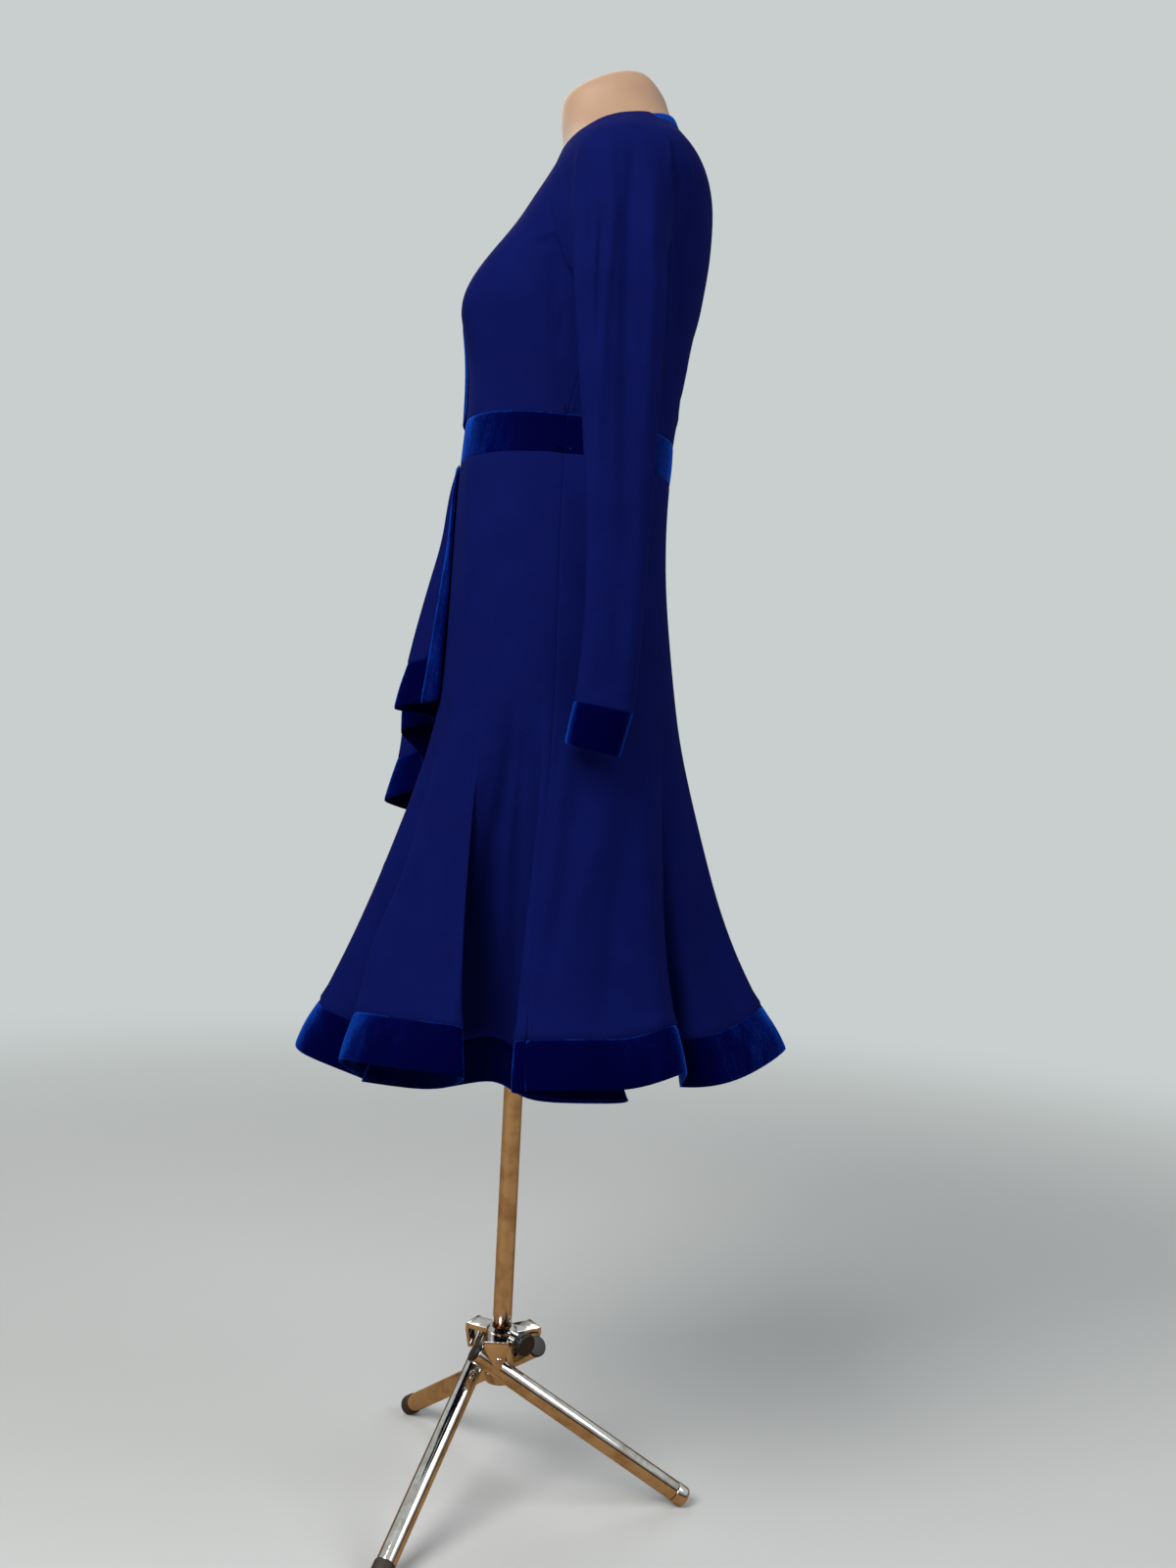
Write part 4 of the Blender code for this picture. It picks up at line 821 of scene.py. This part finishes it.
SKIRT_ROUND_FOLDS = (
    ((-84.0, 0.860, 8.0, 0.0), (-82.0, 0.780, 9.0, 1.1), (-80.0, 0.680, 10.0, 1.3),
     (-79.0, 0.590, 10.0, 0.6)),
    ((-94.0, 0.900, 8.0, 0.0), (-95.5, 0.800, 9.0, -1.3), (-97.0, 0.690, 10.0, -1.5),
     (-98.0, 0.590, 10.0, -0.7)),
    ((-105.0, 0.840, 8.0, 0.0), (-107.0, 0.740, 9.0, 1.2), (-109.0, 0.640, 10.0, 1.2),
     (-110.0, 0.58, 10.0, 0.4)),
    ((80.0, 0.900, 8.0, 0.0), (78.5, 0.800, 9.0, 1.1), (77.0, 0.690, 10.0, 1.4), (76.0, 0.600, 10.0, 0.6)),
    ((90.0, 0.860, 8.0, 0.0), (90.5, 0.760, 9.0, -1.3), (91.5, 0.660, 10.0, -1.6), (92.0, 0.590, 10.0, -0.7)),
    ((101.0, 0.880, 8.0, 0.0), (103.0, 0.780, 9.0, 1.2), (104.5, 0.680, 10.0, 1.3), (105.5, 0.59, 10.0, 0.5)),
)
print("skirt folds:", len(SKIRT_SIDE_FOLDS) + len(SKIRT_ROUND_FOLDS))

# %% [markdown]
# Now every piece is sewn from its own CAD wall, in its own cloth. Inside is a point that the outer face looks
# away from: the body's middle, the middle of a sleeve, or a point behind the cascade.

# %% Every cloth of the dress
BODY_MIDDLE, AHEAD = (0.0, 0.0), (0.0, 1.0)
SLEEVE_MIDDLE = (0.195, 0.047)
WALL = {"crepe": 0.0014, "trim": 0.0018, "band": 0.0022}
GORES = ("front", "left_front", "left_back", "back", "right_back", "right_front")


def sew(node, wall, cloth, slot, inside=BODY_MIDDLE, **more):
    skin = make_cloth(node, WALL[wall], inside, **more)
    skin.data.materials.append(cloth)
    return skin


sew("bodice_front", "crepe", crepe, "crepe", levels=3, side_folds=FRONT_SIDE_FOLDS)
sew("bodice_back", "crepe", crepe, "crepe", levels=3, folds=BACK_FOLDS, side_folds=BACK_SIDE_FOLDS)
sew("neck_band", "crepe", velvet, "velvet", strip=0.001)
sew("front_strip", "trim", velvet, "velvet", strip=0.002, touch=strip_back)
for node in ("belt_front", "belt_back"):
    sew(node, "trim", velvet, "velvet")
for side, sign in (("left", 1.0), ("right", -1.0)):
    middle = (sign * SLEEVE_MIDDLE[0], SLEEVE_MIDDLE[1])
    sew("sleeve_" + side, "crepe", crepe, "crepe", inside=middle, levels=3, side_folds=SLEEVE_FOLDS)
    sew("cuff_" + side, "trim", velvet, "velvet", inside=middle)
for gore in GORES:
    sew("gore_" + gore, "crepe", crepe, "crepe", folds=SKIRT_ROUND_FOLDS, side_folds=SKIRT_SIDE_FOLDS,
        touch=swing_fold)
    sew("band_" + gore, "band", velvet, "velvet", touch=swing_fold)
sew("drape", "crepe", crepe, "crepe", inside=AHEAD)
sew("drape_side_border", "crepe", sheen_lifted_velvet, "velvet", inside=AHEAD)
sew("drape_hem_border", "crepe", velvet, "velvet", inside=AHEAD)

# %% [markdown]
# The stand is drawn steel tube with bright chrome plate over it. Chrome is a metal, so it has no colour of
# its own but a faint tint, and shows the room in it. Years of use leave long faint streaks along the tubes,
# a little brown tarnish where the plate is thin, and rust where the pole rubs in its socket. The brown
# blotches in the base colour are partly that tarnish and partly painted reflection, a warm tint for the
# wooden floor the chrome mirrors.

# %% Chrome plate
RUST_FROM, RUST_TO = 0.225, 0.199


def chrome_material(name, rusted=False):
    material, tree = new_material(name)
    place = add_node(tree, "ShaderNodeTexCoord")
    drawn = add_node(tree, "ShaderNodeMapping", {
        "Vector": place.outputs["Object"], "Scale": (1.0, 1.0, 0.04),
    })
    streaks = add_noise(tree, drawn.outputs["Vector"], 420.0, 3.0, 0.6)
    tarnish_and_reflection = add_noise(tree, place.outputs["Object"], 38.0, 5.0, 0.65)
    # Base colour: real tarnish plus painted reflection of the warm wooden floor, in random blotches.
    colour = add_ramp(tree, tarnish_and_reflection, (0.45, "#e2e0dd"), (0.80, "#a58e76"))
    if rusted:
        height = add_node(tree, "ShaderNodeSeparateXYZ", {"Vector": place.outputs["Object"]})
        low = add_node(tree, "ShaderNodeMapRange", {
            "Value": height.outputs["Z"], "From Min": RUST_FROM, "From Max": RUST_TO,
            "To Min": -0.25, "To Max": 0.30,
        })
        spots = add_noise(tree, place.outputs["Object"], 300.0, 4.0, 0.7)
        amount = add_node(tree, "ShaderNodeMath", {0: spots, 1: low.outputs["Result"]}, operation="ADD")
        mask = add_node(tree, "ShaderNodeMapRange", {
            "Value": amount.outputs["Value"], "From Min": 0.55, "From Max": 0.70,
        })
        rust = add_node(tree, "ShaderNodeMix", {
            0: mask.outputs["Result"], 6: colour, 7: linear("#4a2c17"),
        }, data_type="RGBA")
        colour = rust.outputs[2]
    rough = add_node(tree, "ShaderNodeMapRange", {
        "Value": streaks, "From Min": 0.3, "From Max": 0.8, "To Min": 0.05, "To Max": 0.17,
    })
    metal = add_node(tree, "ShaderNodeBsdfPrincipled", {
        "Base Color": colour, "Metallic": 1.0, "Roughness": rough.outputs["Result"],
        "Normal": add_relief(tree, streaks, 0.05, 0.0004),
    })
    finish_material(tree, metal.outputs["BSDF"])
    return material


chrome = chrome_material("chrome_plated_steel_tube")
pole_chrome = chrome_material("chrome_plated_steel_pole", rusted=True)
print("materials:", chrome.name, pole_chrome.name)

# %% [markdown]
# The clamp knob and the tube plugs are moulded black plastic with a satin skin. Two of the foot caps are
# brown-black rubber, which scatters more.

# %% Black plastic and rubber
UNEVEN = 0.08       # how far the roughness strays each way


def moulded_material(name, dark, light, roughness, grain, ior):
    material, tree = new_material(name)
    place = add_node(tree, "ShaderNodeTexCoord")
    skin = add_noise(tree, place.outputs["Object"], grain, 4.0, 0.6)
    dull = add_node(tree, "ShaderNodeMapRange", {
        "Value": skin, "To Min": roughness - UNEVEN, "To Max": roughness + UNEVEN,
    })
    body = add_node(tree, "ShaderNodeBsdfPrincipled", {
        "Base Color": add_ramp(tree, skin, (0.35, dark), (0.75, light)),
        "Roughness": dull.outputs["Result"], "IOR": ior, "Normal": add_relief(tree, skin, 0.2, 0.0003),
    })
    finish_material(tree, body.outputs["BSDF"])
    return material


black_plastic = moulded_material("moulded_black_polypropylene", "#121110", "#201e1c", 0.42, 500.0, 1.49)
foot_rubber = moulded_material("moulded_dark_rubber", "#1f1712", "#3b2b20", 0.62, 350.0, 1.52)
print("materials:", black_plastic.name, foot_rubber.name)

# %% [markdown]
# Tubes, caps and knobs are turned shapes: one outline of radius and height, swept round an axis. Sixty-four
# steps make a circle smooth, edges sharper than 40 degrees stay crisp, and every outline rounds its own
# corners, because no real edge is perfectly sharp and the rounding is what catches the light.

# %% Turned pieces
ROUND = 64
CRISP = math.radians(40)
POLE_AXIS = Vector((0.0, -0.0324, 0.0))


def turned_piece(name, node, outline, start, direction, body, material, wavy=0.0, waves=0):
    turn = direction.to_track_quat("Z", "X").to_matrix()
    mesh = bmesh.new()
    rings = []
    for radius, height in outline:
        ring = []
        for step in range(ROUND):
            angle = 2 * math.pi * step / ROUND
            reach = radius * (1 - wavy * max(0.0, math.cos(waves * angle)) ** 3)
            spot = start + turn @ Vector((reach * math.cos(angle), reach * math.sin(angle), height))
            spot.z = max(spot.z, 0.0)
            ring.append(mesh.verts.new(spot))
        rings.append(ring)
    for low, high in zip(rings, rings[1:]):
        for step in range(ROUND):
            after = (step + 1) % ROUND
            mesh.faces.new((low[step], low[after], high[after], high[step]))
    mesh.faces.new(list(reversed(rings[0])))
    mesh.faces.new(rings[-1])
    bmesh.ops.recalc_face_normals(mesh, faces=mesh.faces)
    data = bpy.data.meshes.new(name)
    mesh.to_mesh(data)
    mesh.free()
    return dress_piece(name, data, node, body, material)


def dress_piece(name, data, node, body, material):
    for face in data.polygons:
        face.use_smooth = True
    data.set_sharp_from_angle(angle=CRISP)
    data.materials.append(material)
    piece = new_object(name, data)
    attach(piece, body)
    if node:
        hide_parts(node)
    print(name, "faces:", len(data.polygons))
    return piece


# %% [markdown]
# The pole stands in the hub's socket and ends in the wide flange that carries the dress form.

# %% Pole
UP = Vector((0.0, 0.0, 1.0))
POLE_OUTLINE = (
    (0.0090, 0.1404), (0.0104, 0.1405), (0.0109, 0.1411), (0.0110, 0.1422), (0.0110, 0.9290),
    (0.0113, 0.9297), (0.0143, 0.9298), (0.0149, 0.9304), (0.0150, 0.9315), (0.0150, 0.9545),
    (0.0156, 0.9556), (0.0440, 0.9557), (0.0449, 0.9562), (0.0450, 0.9572), (0.0450, 0.9588),
    (0.0446, 0.9596), (0.0430, 0.9597),
)
turned_piece("pole_tube", "pole", POLE_OUTLINE, POLE_AXIS, UP, "pole", pole_chrome)

# %% [markdown]
# Each leg is a tube with a plug in its upper end and a cap on its foot. Its ends come from the same values
# as the CAD: the upper end beside and a little past the pole, the foot on the floor. The back leg's cap is
# a chromed end, the other two are rubber.

# %% Legs
LEG_BESIDE, LEG_PAST, LEG_TOP = 0.031, 0.026, 0.177
FOOT_TOP, CAP_LONG = 0.0078, 0.016
FEET = {"back": (0.000, 0.2215), "left": (0.197, -0.1060), "right": (-0.205, -0.1240)}
RUBBER_CAP = (
    (0.0095, 0.0), (0.0115, 0.0001), (0.0120, 0.0006), (0.0121, 0.0014), (0.0121, 0.0128), (0.0118, 0.0140),
    (0.0111, 0.0148), (0.0098, 0.0156), (0.0080, 0.0160),
)
CHROME_CAP = (
    (0.0095, 0.0), (0.0110, 0.0001), (0.0114, 0.0006), (0.0115, 0.0014), (0.0115, 0.0120), (0.0112, 0.0138),
    (0.0103, 0.0150), (0.0088, 0.0158), (0.0070, 0.0160),
)
TUBE_PLUG = (
    (0.0100, -0.0048), (0.0108, -0.0047), (0.0114, -0.0042), (0.0116, -0.0036), (0.0116, -0.0006),
    (0.0110, -0.0003), (0.0090, -0.0003),
)
TUBE_START = ((0.0095, 0.0), (0.0104, 0.0001), (0.0109, 0.0006), (0.0110, 0.0014))
TUBE_END = ((0.0110, 0.0014), (0.0109, 0.0008), (0.0104, 0.0004), (0.0095, 0.0003))


def along_and_beside(foot_x, foot_y):
    along = Vector((foot_x, foot_y, 0.0)).normalized()
    return along, Vector((along.y, -along.x, 0.0))


for name, (foot_x, foot_y) in FEET.items():
    foot = Vector((foot_x, foot_y, FOOT_TOP))
    along, beside = along_and_beside(foot_x, foot_y)
    top = beside * LEG_BESIDE - along * LEG_PAST + UP * LEG_TOP
    direction = (foot - top).normalized()
    long = (foot - top).length - CAP_LONG
    tube = TUBE_START + tuple((radius, long - back) for radius, back in TUBE_END)
    start = POLE_AXIS + top
    turned_piece("leg_" + name + "_tube", "leg_" + name, tube, start, direction, "stand", chrome)
    turned_piece("plug_" + name + "_end", "plug_" + name, TUBE_PLUG, start, direction, "stand",
                 black_plastic)
    chromed = name == "back"
    turned_piece("foot_" + name + "_cap", "foot_" + name, CHROME_CAP if chromed else RUBBER_CAP,
                 start + direction * long, direction, "stand",
                 chrome if chromed else foot_rubber)

# %% [markdown]
# The knob screws into a boss of the hub, at the side of the socket. It has fourteen shallow grooves round its
# rim for the fingers.

# %% Knob
KNOB_TURN, KNOB_FROM_POLE, KNOB_HIGH = math.radians(44.0), 0.0305, 0.188
GROOVE_DEEP, GROOVES = 0.055, 14
KNOB_OUT = Vector((math.cos(KNOB_TURN), math.sin(KNOB_TURN), 0.0))
KNOB_SPOT = POLE_AXIS + KNOB_OUT * KNOB_FROM_POLE + UP * KNOB_HIGH
KNOB_OUTLINE = (
    (0.0060, 0.0), (0.0070, 0.0002), (0.0105, 0.0022), (0.0122, 0.0040), (0.0128, 0.0058), (0.0132, 0.0085),
    (0.0132, 0.0105), (0.0130, 0.0122), (0.0124, 0.0136), (0.0112, 0.0146), (0.0098, 0.0150),
    (0.0060, 0.0150),
)
turned_piece("knob_grip", "knob", KNOB_OUTLINE, KNOB_SPOT, KNOB_OUT, "knob", black_plastic,
             wavy=GROOVE_DEEP, waves=GROOVES)

# %% [markdown]
# The hub is the zinc casting that joins everything. It keeps its CAD shape, with its edges rounded as a
# polished and plated casting has them, and a domed rivet holds each leg between its cheeks.

# %% Hub casting
FLAT = math.radians(1.0)
CAST_EDGE, CAST_SHARP = 0.0005, math.radians(32)
RIVET_BESIDE, RIVET_HIGH = 0.0429, 0.1735


def make_hub():
    mesh = bmesh.new()
    mesh.from_mesh(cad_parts["hub"].data)
    bmesh.ops.remove_doubles(mesh, verts=mesh.verts, dist=WELD)
    bmesh.ops.dissolve_limit(mesh, angle_limit=FLAT, verts=mesh.verts, edges=mesh.edges)
    data = bpy.data.meshes.new("hub_rough")
    mesh.to_mesh(data)
    mesh.free()
    rough = new_object("hub_rough", data)
    soften = rough.modifiers.new("cast_edges", "BEVEL")
    soften.width, soften.segments = CAST_EDGE, 2
    soften.limit_method, soften.angle_limit = "ANGLE", CAST_SHARP
    bpy.context.view_layer.update()
    done = bpy.data.meshes.new_from_object(rough.evaluated_get(bpy.context.evaluated_depsgraph_get()))
    bpy.data.objects.remove(rough)
    done.materials.clear()
    return dress_piece("hub_casting", done, "hub", "stand", chrome)


make_hub()
RIVET_OUTLINE = ((0.0036, 0.0), (0.0036, 0.0006), (0.0033, 0.0012), (0.0024, 0.0017), (0.0010, 0.0020))
for name, (foot_x, foot_y) in FEET.items():
    beside = along_and_beside(foot_x, foot_y)[1]
    spot = POLE_AXIS + beside * RIVET_BESIDE + UP * RIVET_HIGH
    turned_piece("rivet_" + name, None, RIVET_OUTLINE, spot, beside, "stand", chrome)
